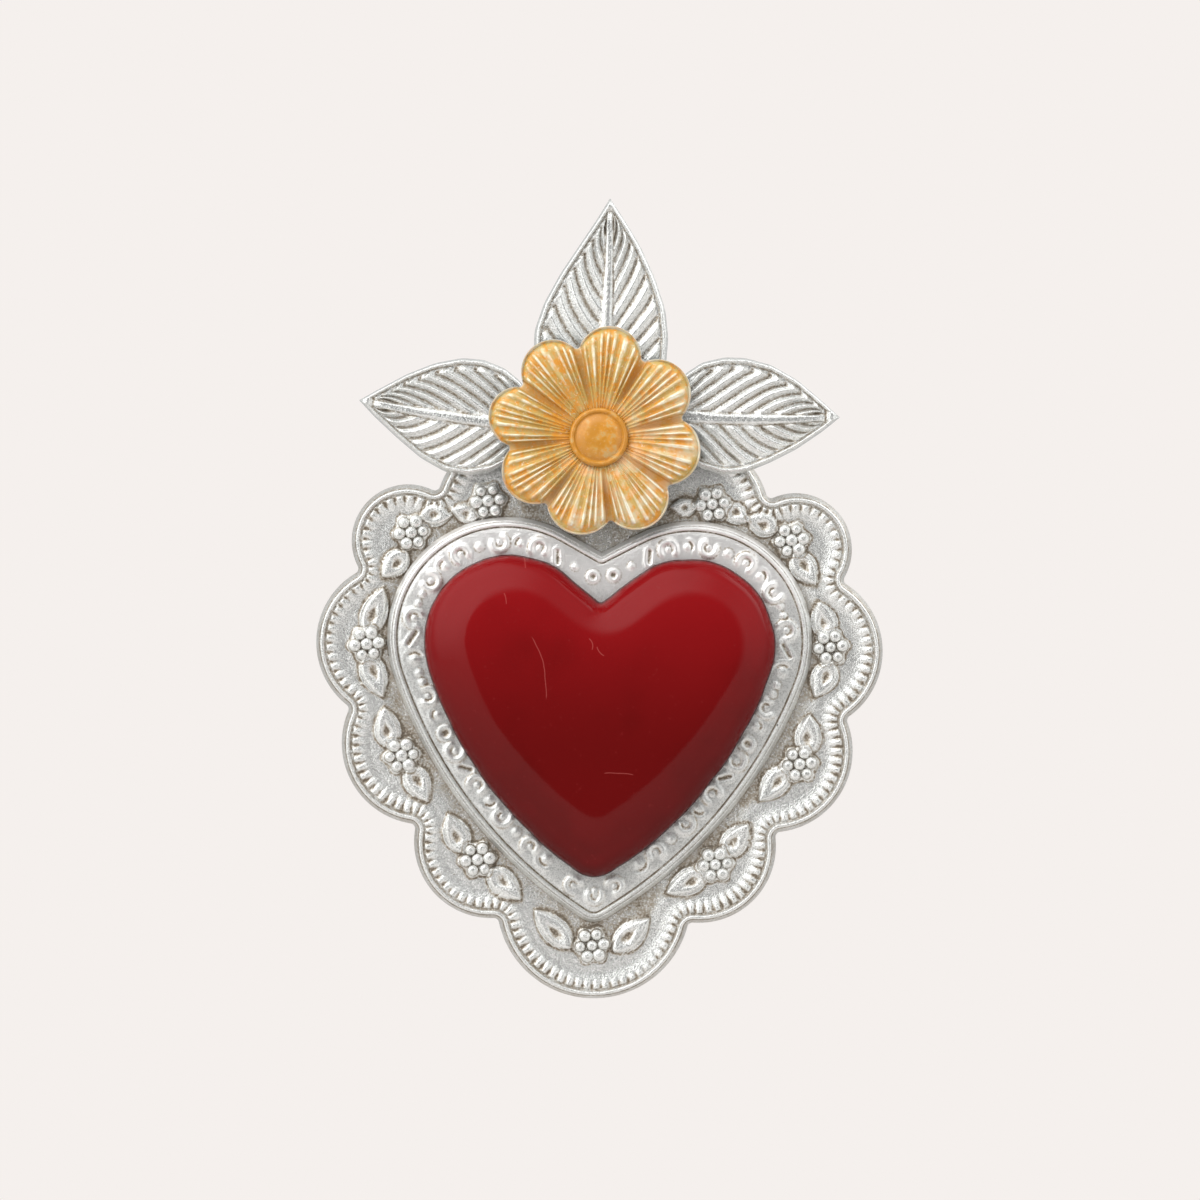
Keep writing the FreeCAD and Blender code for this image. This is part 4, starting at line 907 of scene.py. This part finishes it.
def border_relief(across, up, inset):
    """Depth of the border's front and its brown hollows."""
    height, line = mark_relief(across, up)
    depth = follow(BORDER_PROFILE, inset)
    depth = depth + 0.05 * wobble(across, up, 2.5, 5) * smooth(0.8, 1.6, inset)
    depth = depth + 0.82 * height
    hollow = 0.75 * bump(inset - 0.50, 0.15) + 0.5 * bump(inset + 0.64, 0.07)
    hollow += 0.55 * bump(inset + 1.85, 0.16) + 0.8 * line
    return depth, hollow + sunken(depth, 2) * smooth(-0.4, 0.4, inset)


def dome_curve(inset):
    """Rise of the dome over its edge, from 0 to 1."""
    return (1 - np.clip(1 - inset / DOME_REACH, 0, 1) ** DOME_SHAPE[0]) ** DOME_SHAPE[1]


def soft_dome(outline, across, up):
    """The dome's rise from the distance to its edge, softened over a grid and read at each place."""
    cell, margin, blur = 0.4, 4, 2.6
    low = outline.min(0) - margin
    count = np.ceil((outline.max(0) + margin - low) / cell).astype(int)
    places = np.stack(np.meshgrid(*(low[axis] + cell * np.arange(count[axis]) for axis in (0, 1)),
                                  indexing="ij"), -1).reshape(-1, 2)
    inset = np.concatenate([np.sqrt(((part[:, None] - outline[None]) ** 2).sum(-1)).min(1)
                            for part in np.array_split(places, 40)]).reshape(count)
    rise = dome_curve(inset)
    spread = np.exp(-0.5 * (np.arange(-20, 21) * cell / blur) ** 2)
    spread /= spread.sum()
    for axis in (0, 1):
        rise = np.apply_along_axis(lambda line: np.convolve(line, spread, mode="same"), axis, rise)
    column, row = (np.clip((value - low[axis]) / cell, 0, count[axis] - 1.001)
                   for axis, value in enumerate((across, up)))
    i, j = column.astype(int), row.astype(int)
    a, b = column - i, row - j
    return (rise[i, j] * (1 - a) * (1 - b) + rise[i + 1, j] * a * (1 - b)
            + rise[i, j + 1] * (1 - a) * b + rise[i + 1, j + 1] * a * b)


def softened_table(table, share):
    """Half-widths of one side of a leaf, with the table's corners rounded."""
    fine = np.linspace(0, 1, 60)
    rough = follow(table, fine)
    padded = np.concatenate([[2 * rough[0] - rough[1]], rough, [2 * rough[-1] - rough[-2]]])
    return np.interp(share, fine, (padded[:-2] + 2 * padded[1:-1] + padded[2:]) / 4)


def leaf_shell(base, tip, left, right, veins, slopes, seed):
    """A veined leaf: cross-sections from base to tip, each a closed loop of front and back."""
    length = math.hypot(tip[0] - base[0], tip[1] - base[1])
    heading = direction(base, tip)
    stations = np.concatenate([[0, 0.001], np.linspace(0.004, 0.985, 250), [0.992, 0.997, 0.9995]])
    side = np.sin(np.linspace(-1, 1, 105) * math.pi / 2)
    share, aside = np.meshgrid(stations, np.sign(side) * np.abs(side) ** 0.9, indexing="ij")
    half = np.where(aside < 0, softened_table(left, share), softened_table(right, share)) + 0.02
    local = aside * half
    along = share * length
    edge = np.minimum((half - np.abs(local)) * 0.9, np.maximum((1 - share) * length * 0.42, 0))

    rib_half = 1.35 * (1 - 0.55 * share)
    bend = 0.8 * np.sin(share * math.pi) * (1 if seed % 2 else -1)
    rib_reach = np.abs(local - bend)
    outward = np.clip((rib_reach - rib_half) / np.maximum(half - 2.0 - rib_half, 0.3), 0, 1)
    right_rise, left_rise, right_bend, left_bend = slopes
    rise = np.where(aside < 0, left_rise, right_rise) * (1 - np.exp(-half / 6.0))
    bow = outward ** np.where(aside < 0, left_bend, right_bend)
    uneven = 0.10 * wobble(along, local, 4.5, 40 + seed)
    vein = (along - rise * bow) * veins / length + np.where(aside < 0, 0.45, 0.0) + uneven
    within = vein - np.floor(vein)
    groove = bump(within - 0.90, 0.11) + bump(within + 0.10, 0.11)
    ridge = 0.95 * bump(within - 0.40, 0.17) - 0.78 * groove

    field = smooth(1.25, 1.75, edge) * smooth(0.0, 0.25, rib_reach - rib_half)
    ends = smooth(1.35, 2.3, edge) * smooth(-0.02, 0.12, outward)
    depth = LEAF_DEPTH + follow(LEAF_RIM, edge)
    depth = depth + field * ends * 0.66 * (ridge + 0.12) * smooth(0.0, 0.3, half - 2.2)
    rib = smooth(rib_half + 0.25, rib_half - 0.35, rib_reach) * smooth(0.9, 2.2, edge)
    depth = depth * (1 - rib) + rib * (7.45 + 0.12 * bump(rib_reach - rib_half * 0.8, 0.3))
    hollow = 0.72 * field * ends * np.clip(-ridge, 0, 1) + 0.55 * bump(edge - 1.34, 0.16)
    hollow += 0.5 * bump(rib_reach - rib_half - 0.18, 0.2) * smooth(1.2, 2.0, edge)
    hollow += 0.22 * field * bump(within - 0.75, 0.2)

    sheets = []
    for width, deep in ((local, np.minimum(depth, 7.7)),
                        (local * np.clip(1 - 0.35 / half, 0, 1), LEAF_DEPTH + smooth(0.0, 1.6, edge))):
        across = base[0] + along * math.cos(heading) - width * math.sin(heading)
        up = base[1] + along * math.sin(heading) + width * math.cos(heading)
        sheets.append(in_row(across, up, deep))
    loops = np.concatenate([sheets[0], sheets[1][:, ::-1]], axis=1)
    marks = np.concatenate([hollow, np.full_like(hollow, 0.2)], axis=1)
    return loops, np.clip(marks, 0, 1)


def flower_shell(rib_count):
    """The flower's rings from its seat out over the petals to the edge and back behind, with its marks."""
    lobes = [polar(FLOWER_MIDDLE, reach - radius, math.radians(90 - turn)) + (radius,)
             for turn, reach, radius in PETALS]
    edge, lip, inner = (scalloped_ring(lobes, PETAL_CUSP, inset, [PETAL_STEPS, NOTCH_STEPS] * len(lobes))
                        for inset in (0, 0.35, 0.5))
    spread = np.concatenate([np.arange(PETAL_STEPS) / PETAL_STEPS, np.ones(NOTCH_STEPS)])
    seat = []
    for first in range(0, len(edge), len(spread)):
        start = direction(FLOWER_MIDDLE, edge[first])
        end = unwound(start, direction(FLOWER_MIDDLE, edge[first + PETAL_STEPS]), 2 * math.pi)
        seat.append(circle(FLOWER_MIDDLE, SEAT_RADIUS, start + (end - start) * spread))
    seat = np.concatenate(seat)
    petal = np.repeat(np.arange(len(lobes)), len(spread))
    spread = np.tile(spread, len(lobes))
    swell = np.sin(math.pi * spread)
    arch = 0.35 * smooth(0.0, 0.022, swell / math.pi) + 0.65 * np.clip(swell, 0, 1) ** 0.55
    sway = 0.35 * np.sin(2 * math.pi * spread * 1.7 + 5 * petal ** 2)
    waves = 0.5 - 0.5 * np.cos(2 * math.pi * (rib_count * spread + sway * swell))
    peak = waves ** 1.4 * smooth(0.0, 0.14, swell)
    stop = 0.2 * np.sin(np.round(rib_count * spread) * 2.3 + petal * 1.7)
    flat = np.ones(len(edge))

    rows = [edge, edge, lip * 0.6 + edge * 0.4]
    depths = [FLOWER_DEPTH * flat, FLOWER_DEPTH + 0.7 + 1.36 * arch, FLOWER_DEPTH + 0.85 + 1.71 * arch]
    ridges = [0 * flat, 0 * flat, 0.75 * flat]
    for share in np.concatenate([[0, 0.015, 0.03, 0.06, 0.09], np.linspace(0.13, 1.0, 44)]):
        rows.append(lip + (seat - lip) * share)
        fold = follow(PETAL_FOLD, share)
        body = fold + (follow(PETAL_BACK, share) - fold) * arch
        ribs = 0.20 * peak * smooth(0.0, 0.14, share) * (1 - 0.7 * smooth(0.45 + stop, 0.95, share))
        depths.append(FLOWER_DEPTH + FLOWER_RISE * np.minimum(body - 0.15 * arch + ribs, 0.985))
        # Crest mask: the rib crests take the pale of worn paint and of painted highlight
        wear_and_painted_sheen = peak * smooth(0.02, 0.1, share) * (1 - 0.75 * smooth(0.3 + stop, 0.9, share))
        wear_and_painted_sheen = np.maximum(wear_and_painted_sheen, 0.7 * bump(share, 0.03)) + 0.15 * arch * (1 - share)
        ridges.append(np.clip(wear_and_painted_sheen, 0, 1))
    front = in_row(*np.stack(rows).transpose(2, 0, 1), np.stack(depths))
    back = []
    for share, deep in ((0.0, 8.2), (0.08, 9.4), (0.5, 9.9), (1.0, 9.4)):
        sunk = FLOWER_DEPTH + (deep - FLOWER_DEPTH) * (0.15 + 0.85 * arch) if share < 1 else deep * flat
        back.append(in_row(*(inner + (seat - inner) * share).T, sunk))
    rings = np.concatenate([front[::-1], np.stack(back)])
    bare = np.zeros(rings.shape[:2])
    bare[len(rows) - 2:] = 1
    return rings, {
        "ridge": np.concatenate([np.stack(ridges)[::-1], np.zeros((len(back), len(edge)))]),
        "bare": bare,
        "fold": bump(swell, 0.05) * np.ones((len(rings), 1))}


# Stage


def pale_surroundings(scene, backdrop):
    """A plain pale background for the camera, and light with three soft lobes for the pieces."""
    scene.world = bpy.data.worlds.new("surroundings")
    scene.world.use_nodes = True
    scene.world.node_tree.nodes.clear()
    nodes = Nodes(scene.world.node_tree)
    rays = nodes.add("ShaderNodeLightPath").outputs
    seen = nodes.most(rays["Is Camera Ray"], rays["Is Transmission Ray"])
    shown = nodes.add("ShaderNodeBackground", {"Color": colour(backdrop), "Strength": 1.0})
    heading = nodes.add("ShaderNodeTexCoord").outputs["Generated"]
    glow = SKY_GLOW
    for toward, low, high, gain in SKY_LOBES:
        facing = nodes.vector("DOT_PRODUCT", heading, Vector(toward).normalized(), output="Value")
        glow = nodes.plus(glow, nodes.span(facing, low, high, 0.0, gain))
    light = nodes.add("ShaderNodeBackground", {"Color": SKY_COLOUR, "Strength": glow})
    either = nodes.add("ShaderNodeMixShader", {0: seen, 1: light, 2: shown})
    nodes.add("ShaderNodeOutputWorld", {"Surface": either})


def matt_sheet(name, points, paint, grain, shades):
    """A flat sheet whose matt colour drifts between two. Returns it with its paint's nodes."""
    material, nodes, shader, place = new_material(paint)
    share = nodes.noise(place, *grain)
    nodes.fill(shader, {"Base Color": nodes.mix(share, *map(colour, shades)), "Roughness": 0.9})
    mesh = bpy.data.meshes.new(name)
    mesh.from_pydata(points, [], [tuple(range(len(points)))])
    mesh.materials.append(material)
    return add_object(name, mesh), nodes, shader, place


def add_floor(backdrop):
    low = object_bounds()[0][2] - FLOOR_DROP
    corners = [(x, y, low) for x, y in FLOOR_CORNERS]
    shades = [[value * share for value in backdrop] for share in FLOOR_SHARES]
    floor = matt_sheet("floor", corners, "pale_floor", FLOOR_GRAIN, shades)[0]
    floor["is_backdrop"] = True


def add_card():
    """A dark card that shows only in reflections, round and fading out at its edge."""
    x, y, z = CARD_MIDDLE
    angles = np.linspace(0, 2 * math.pi, 64)[:-1]
    ring = [(across, y, up) for across, up in circle((x, z), CARD_RADIUS, angles)]
    card, nodes, shader, place = matt_sheet("card", ring, "dark_card", CARD_GRAIN, CARD_BLACKS)
    parts = nodes.split(place)
    aside, upward = nodes.minus(parts["X"], x), nodes.minus(parts["Z"], z)
    away = nodes.math("SQRT", nodes.plus(nodes.times(aside, aside), nodes.times(upward, upward)))
    fade = nodes.most(nodes.span(nodes.plus(aside, upward), -0.75, 0.45, 0.02, 0.26),
                      nodes.span(upward, -0.40, -0.75, 0.0, 0.30))
    fade = nodes.most(fade, nodes.span(upward, 0.30, 0.70, 0.0, 0.26))
    edges = nodes.minus(CARD_EDGE, fade), nodes.plus(CARD_EDGE, fade)
    nodes.fill(shader, {"Alpha": nodes.span(away, *edges, 1.0, 0.0)})
    card.visible_camera = card.visible_diffuse = card.visible_shadow = False
    card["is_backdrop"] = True


def add_lamp(name, where, size, power, aim):
    lamp = bpy.data.lights.new(name, "AREA")
    lamp.shape = "DISK"
    lamp.size = size
    lamp.energy = power
    holder = add_object(name, lamp)
    holder.location = where
    holder.rotation_euler = (aim - Vector(where)).to_track_quat("-Z", "Y").to_euler()
    holder.visible_glossy = False


def add_camera(scene, aim):
    """The photograph's view, from as far off as its scale asks."""
    lens = bpy.data.cameras.new("view")
    lens.lens = VIEW_LENS
    lens.sensor_width = SENSOR_WIDTH
    lens.clip_start = 0.01
    away = PHOTO_SCALE * PHOTO_WIDTH * lens.lens / lens.sensor_width / 1000
    turn = Matrix.Rotation(math.radians(90), 4, "X") @ Matrix.Rotation(math.radians(PHOTO_TURN), 4, "Z")
    scene.camera = add_object("view", lens)
    scene.camera.matrix_world = Matrix.Translation(aim + Vector((0, -away, 0))) @ turn


# Settings


class TinSizes(bpy.types.PropertyGroup):
    flute_pitch: bpy.props.FloatProperty(
        name="Flute pitch", description="Distance between the rim's flutes", default=0.00194,
        subtype="DISTANCE", unit="LENGTH")
    berry_radius: bpy.props.FloatProperty(
        name="Berry radius", description="Radius of a sprig's berry", default=0.00150,
        subtype="DISTANCE", unit="LENGTH")
    berry_rise: bpy.props.FloatProperty(
        name="Berry rise", description="Height of a berry over its middle", default=0.00165,
        subtype="DISTANCE", unit="LENGTH")
    tin_gauge: bpy.props.FloatProperty(
        name="Tin gauge", description="Thickness of the tinplate", default=0.0005,
        subtype="DISTANCE", unit="LENGTH")
    ring_wire: bpy.props.FloatProperty(
        name="Ring wire", description="Thickness of the hanging ring's wire", default=0.0012,
        subtype="DISTANCE", unit="LENGTH")
    petal_ribs: bpy.props.IntProperty(
        name="Petal ribs", description="Ridges across one petal", default=8, min=4, max=14)
    seed: bpy.props.IntProperty(
        name="Seed", description="Seed of the berries' uneven sizes", default=7, min=0)


class TinLooks(bpy.types.PropertyGroup):
    tin: bpy.props.FloatVectorProperty(
        name="Tin", description="Bright tinplate", default=(0.93, 0.94, 0.925), subtype="COLOR", size=3)
    # Colour of the painted light high on the heart border
    tin_painted_light: bpy.props.FloatVectorProperty(
        name="Bright tin", description="Freshest tin, high on the heart border", default=(1.0, 0.99, 0.98),
        subtype="COLOR", size=3)
    # Also used, darker still, as painted shade low on the heart border
    tin_shade: bpy.props.FloatVectorProperty(
        name="Tin shade", description="Duller grains of the tinplate", default=(0.63, 0.64, 0.625),
        subtype="COLOR", size=3)
    patina: bpy.props.FloatVectorProperty(
        name="Patina", description="Brown film in the hollows", default=(0.40, 0.345, 0.275),
        subtype="COLOR", size=3)
    patina_dark: bpy.props.FloatVectorProperty(
        name="Dark patina", description="Deepest brown of the hollows", default=(0.15, 0.12, 0.088),
        subtype="COLOR", size=3)
    enamel: bpy.props.FloatVectorProperty(
        name="Enamel", description="Red of the heart", default=(0.195, 0.0050, 0.0065),
        subtype="COLOR", size=3)
    # Darker red of the random drift and of the painted shade low on the heart
    enamel_shade: bpy.props.FloatVectorProperty(
        name="Enamel shade", description="Darker red low on the heart", default=(0.092, 0.0035, 0.0035),
        subtype="COLOR", size=3)
    ochre: bpy.props.FloatVectorProperty(
        name="Ochre", description="Paint of the flower", default=(0.485, 0.335, 0.10),
        subtype="COLOR", size=3)
    ochre_orange: bpy.props.FloatVectorProperty(
        name="Ochre orange", description="Paint gathered in the grooves", default=(0.61, 0.25, 0.018),
        subtype="COLOR", size=3)
    ochre_green: bpy.props.FloatVectorProperty(
        name="Ochre green", description="Thin greenish patches", default=(0.46, 0.36, 0.16),
        subtype="COLOR", size=3)
    # Painted shade in the folds between the petals
    ochre_painted_fold_shade: bpy.props.FloatVectorProperty(
        name="Ochre fold", description="Dark paint in the folds between the petals",
        default=(0.42, 0.185, 0.03), subtype="COLOR", size=3)
    button: bpy.props.FloatVectorProperty(
        name="Button", description="Paint of the flower's middle", default=(0.46, 0.19, 0.012),
        subtype="COLOR", size=3)
    # Pale of the ridges: worn paint and painted highlight
    pearl: bpy.props.FloatVectorProperty(
        name="Pearl", description="Worn ridges of the flower", default=(0.86, 0.82, 0.66),
        subtype="COLOR", size=3)
    backdrop: bpy.props.FloatVectorProperty(
        name="Backdrop", description="Pale background", default=(0.9131, 0.8714, 0.8469),
        subtype="COLOR", size=3)


# Operators


class TIN_OT_stage(bpy.types.Operator):
    """Set up the pale surroundings, the lamps and the camera"""
    bl_idname = "tin.stage"
    bl_label = "Stage"

    def execute(self, context):
        scene, backdrop = context.scene, context.scene.tin_looks.backdrop
        scene.view_settings.view_transform = "Standard"
        pale_surroundings(scene, backdrop)
        add_floor(backdrop)
        add_card()
        aim = Vector(in_row(*VIEW_MIDDLE))
        for lamp in LAMPS:
            add_lamp(*lamp, aim)
        add_camera(scene, aim)
        return {"FINISHED"}


class TIN_OT_plate(bpy.types.Operator):
    """Make the scalloped plate with its bead, flutes, field and embossed sprigs"""
    bl_idname = "tin.plate"
    bl_label = "Scalloped plate"

    def execute(self, context):
        sizes, looks = context.scene.tin_sizes, context.scene.tin_looks
        steps = [FLUTE_STEPS * count for count in flute_counts(mm(sizes.flute_pitch))]
        phase = np.arange(sum(steps)) / FLUTE_STEPS + 0.5
        rows = [plate_ring(inset, steps) for inset in RIM_ROWS]
        outer = rows[-1]
        border = heart_ring(FRAME_HEART, -1.0, REACH_STEPS)
        angles, bearing = (np.arctan2(ring[:, 1], ring[:, 0]) for ring in (border, outer))
        order = np.argsort(angles)
        reach = np.interp(bearing, angles[order], np.hypot(*border.T)[order], period=2 * math.pi)
        inner = circle((0, 0), reach, bearing)
        shares = np.linspace(0, 1, FIELD_STEPS + 1)[1:]
        rows += [outer + (inner - outer) * share for share in shares]
        across, up = np.stack(rows).transpose(2, 0, 1)
        inset = np.concatenate([RIM_ROWS, RIM_WIDTH + shares * 4])[:, None] * np.ones(len(phase))
        toward = np.concatenate([np.zeros(len(RIM_ROWS)), shares])[:, None] * np.ones(len(phase))
        depth, hollow = plate_relief(across, up, inset, phase, toward)
        flat = FIELD_DEPTH - mm(sizes.tin_gauge)
        back = [in_row(*plate_ring(at, steps).T, deep) for at, deep in RIM_BACK + [(RIM_WIDTH, flat)]]
        back.append(in_row(across[-1], up[-1], flat))
        hub = in_row(across[-1] * 0.5, up[-1] * 0.5, HUB_DEPTH)[None]
        piece = pressed_sheet("plate", hub, in_row(across, up, depth), back, hollow)
        finish_piece(piece, tin_material("embossed_tin", looks), ["base_plate"])
        return {"FINISHED"}


class TIN_OT_berries(bpy.types.Operator):
    """Make the berries of the sprigs"""
    bl_idname = "tin.berries"
    bl_label = "Berries"

    def execute(self, context):
        sizes, looks = context.scene.tin_sizes, context.scene.tin_looks
        mesh = point_mesh("berry_spots", in_row(*berry_points().T, BERRY_DEPTH))
        piece = bake_tree("berries", berry_tree(), mesh, {
            "Radius": sizes.berry_radius, "Rise": sizes.berry_rise, "Prick": BERRY_PRICK, "Seed": sizes.seed,
            "Material": tin_material("berry_tin", looks)})
        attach(piece, "ornament")
        return {"FINISHED"}


class TIN_OT_border(bpy.types.Operator):
    """Make the heart-shaped border with its crest, line and stamped band"""
    bl_idname = "tin.border"
    bl_label = "Heart border"

    def execute(self, context):
        sizes, looks = context.scene.tin_sizes, context.scene.tin_looks
        insets = np.concatenate([BORDER_EDGE, np.arange(-1.6, 1.0, 0.1), np.arange(1.0, 7.6, 0.22)])
        rows = np.stack([heart_ring(FRAME_HEART, inset, BORDER_STEPS) for inset in insets])
        across, up = rows.transpose(2, 0, 1)
        depth, hollow = border_relief(across, up, insets[:, None] * np.ones(rows.shape[1]))
        front = in_row(across, up, depth)
        profile = BORDER_BACK + [(at, BAND_DEPTH - mm(sizes.tin_gauge)) for at in BORDER_FLAT]
        back = [in_row(*heart_ring(FRAME_HEART, at, BORDER_STEPS).T, deep) for at, deep in profile]
        hub = front[-1:].copy()
        middle = hub[..., 2].mean()
        hub[..., 0] *= 0.5
        hub[..., 2] = middle + (hub[..., 2] - middle) * 0.5
        piece = pressed_sheet("border", hub, front, back, hollow)
        # The border's tin gets painted light towards its top and painted shade towards its bottom
        material = tin_material("border_tin", looks, grain=0.36, brushed=0.9, painted_light_gain=0.26, satin=0.33)
        finish_piece(piece, material, ["heart_frame"])
        return {"FINISHED"}


class TIN_OT_dome(bpy.types.Operator):
    """Make the enamelled heart dome"""
    bl_idname = "tin.dome"
    bl_label = "Heart dome"

    def execute(self, context):
        insets = np.concatenate([DOME_LIP, np.linspace(1.0, DOME_INNER, 26)])
        rows = [heart_ring(DOME_HEART, inset, DOME_STEPS) for inset in insets]
        outline, lip, inner = rows[0], rows[len(DOME_LIP) - 1], rows[-1]
        shares = np.linspace(0, 0.985, 62)[1:]
        rows += [inner * (1 - share) + DOME_MIDDLE * share for share in shares]
        across, up = np.stack(rows).transpose(2, 0, 1)
        inset = np.concatenate([insets, np.full(len(shares), DOME_INNER)])[:, None] * np.ones(len(outline))
        deep = smooth(1.5, DOME_INNER, inset)
        rise = dome_curve(inset) * (1 - deep) + np.minimum(soft_dome(outline, across, up), 1) * deep
        cut = 0.13 * wobble(*outline.T, 2.6, 21) + 0.05 * wobble(*outline.T, 1.0, 22)
        nudge = np.minimum(cut, 0.05) * smooth(4.0, 0.0, inset)
        outward = (outline - lip) / np.linalg.norm(outline - lip, axis=1)[:, None]
        across, up = across + nudge * outward[:, 0], up + nudge * outward[:, 1]
        front = in_row(across, up, BAND_DEPTH + DOME_RISE * rise)
        middle = front[0].mean(0)
        rings = np.concatenate([front[::-1], (middle + (front[0] - middle) * 0.9)[None]])
        piece = tube_object("enamelled_heart", rings, {"inset": np.concatenate([inset[::-1], inset[:1]])})
        finish_piece(piece, enamel_material(context.scene.tin_looks), ["heart_dome"])
        return {"FINISHED"}


class TIN_OT_leaves(bpy.types.Operator):
    """Make the three veined leaves"""
    bl_idname = "tin.leaves"
    bl_label = "Leaves"

    def execute(self, context):
        material = tin_material("leaf_tin", context.scene.tin_looks, grain=0.5, satin=0.15)
        for seed, (node, shape) in enumerate(LEAVES.items()):
            loops, marks = leaf_shell(*shape, seed)
            piece = tube_object(node.replace("leaf", "veined_leaf"), loops, {"hollow": marks})
            finish_piece(piece, material, [node])
        return {"FINISHED"}


class TIN_OT_flower(bpy.types.Operator):
    """Make the eight-petal flower"""
    bl_idname = "tin.flower"
    bl_label = "Flower"

    def execute(self, context):
        sizes, looks = context.scene.tin_sizes, context.scene.tin_looks
        piece = tube_object("petals", *flower_shell(sizes.petal_ribs))
        finish_piece(piece, ochre_material(looks, "petal_paint", True), ["flower"])
        return {"FINISHED"}


class TIN_OT_cap(bpy.types.Operator):
    """Make the flower's middle: a button inside a raised ring"""
    bl_idname = "tin.cap"
    bl_label = "Flower middle"

    def execute(self, context):
        angles = np.linspace(0, 2 * math.pi, 97)[:-1]
        rings = np.stack([in_row(*circle(FLOWER_MIDDLE, radius, angles).T, BUTTON_DEPTH + rise)
                          for radius, rise in BUTTON_PROFILE])
        piece = tube_object("button", rings, {})
        material = ochre_material(context.scene.tin_looks, "button_paint", False)
        finish_piece(piece, material, ["flower_cap"])
        return {"FINISHED"}


class TIN_OT_hanger(bpy.types.Operator):
    """Make the wire ring and finish its strap"""
    bl_idname = "tin.hanger"
    bl_label = "Hanging ring"

    def execute(self, context):
        low, high = (Vector(corner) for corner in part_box("hanger_ring"))
        wire = context.scene.tin_sizes.ring_wire / 2
        radius = (high.x - low.x) / 2 - wire
        lean = math.asin(((high.y - low.y) / 2 - wire) / radius)
        piece = bake_tree("wire_ring", ring_tree(), point_mesh("ring_spot", [(0, 0, 0)]), {
            "Ring Radius": radius, "Wire Radius": wire * 0.985, "Tilt": math.pi / 2 + lean,
            "Middle": (low + high) / 2, "Material": wire_material("ring_wire", RING_WIRE, 0.28, 1.0)})
        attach(piece, "ring")
        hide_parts("hanger_ring")
        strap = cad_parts["hanger_strap"]
        looks = context.scene.tin_looks
        strap.material_slots[0].material = tin_material("strap_tin", looks, hollow=STRAP_HOLLOW)
        return {"FINISHED"}


class TIN_OT_solder(bpy.types.Operator):
    """Finish the drops of solder"""
    bl_idname = "tin.solder"
    bl_label = "Solder"

    def execute(self, context):
        material = wire_material("dull_solder", SOLDER, 0.45, 0.8)
        for node in ("solder_frame", "solder_dome", "solder_leaves", "solder_flower"):
            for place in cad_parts[node].material_slots:
                place.material = material
        return {"FINISHED"}


class TIN_PT_parts(bpy.types.Panel):
    """Lists the makers of the ornament's pieces"""
    bl_idname = "TIN_PT_parts"
    bl_label = "Tin heart"
    bl_space_type = "VIEW_3D"
    bl_region_type = "UI"
    bl_category = "Tin heart"

    def draw(self, context):
        for maker in MAKERS:
            self.layout.operator(maker.bl_idname, text=maker.bl_label)
        for group in (context.scene.tin_sizes, context.scene.tin_looks):
            box = self.layout.box()
            for name in group.__annotations__:
                box.prop(group, name)


MAKERS = (TIN_OT_stage, TIN_OT_plate, TIN_OT_berries, TIN_OT_border, TIN_OT_dome, TIN_OT_leaves,
          TIN_OT_flower, TIN_OT_cap, TIN_OT_hanger, TIN_OT_solder)
CLASSES = (TinSizes, TinLooks) + MAKERS + (TIN_PT_parts,)


def register():
    for item in CLASSES:
        bpy.utils.register_class(item)
    bpy.types.Scene.tin_sizes = bpy.props.PointerProperty(type=TinSizes)
    bpy.types.Scene.tin_looks = bpy.props.PointerProperty(type=TinLooks)


def unregister():
    del bpy.types.Scene.tin_looks
    del bpy.types.Scene.tin_sizes
    for item in reversed(CLASSES):
        bpy.utils.unregister_class(item)


def main():
    register()
    bpy.ops.tin.stage()
    bpy.ops.tin.plate()
    bpy.ops.tin.berries()
    bpy.ops.tin.border()
    bpy.ops.tin.dome()
    bpy.ops.tin.leaves()
    bpy.ops.tin.flower()
    bpy.ops.tin.cap()
    bpy.ops.tin.hanger()
    bpy.ops.tin.solder()


if __name__ == "__main__":
    main()
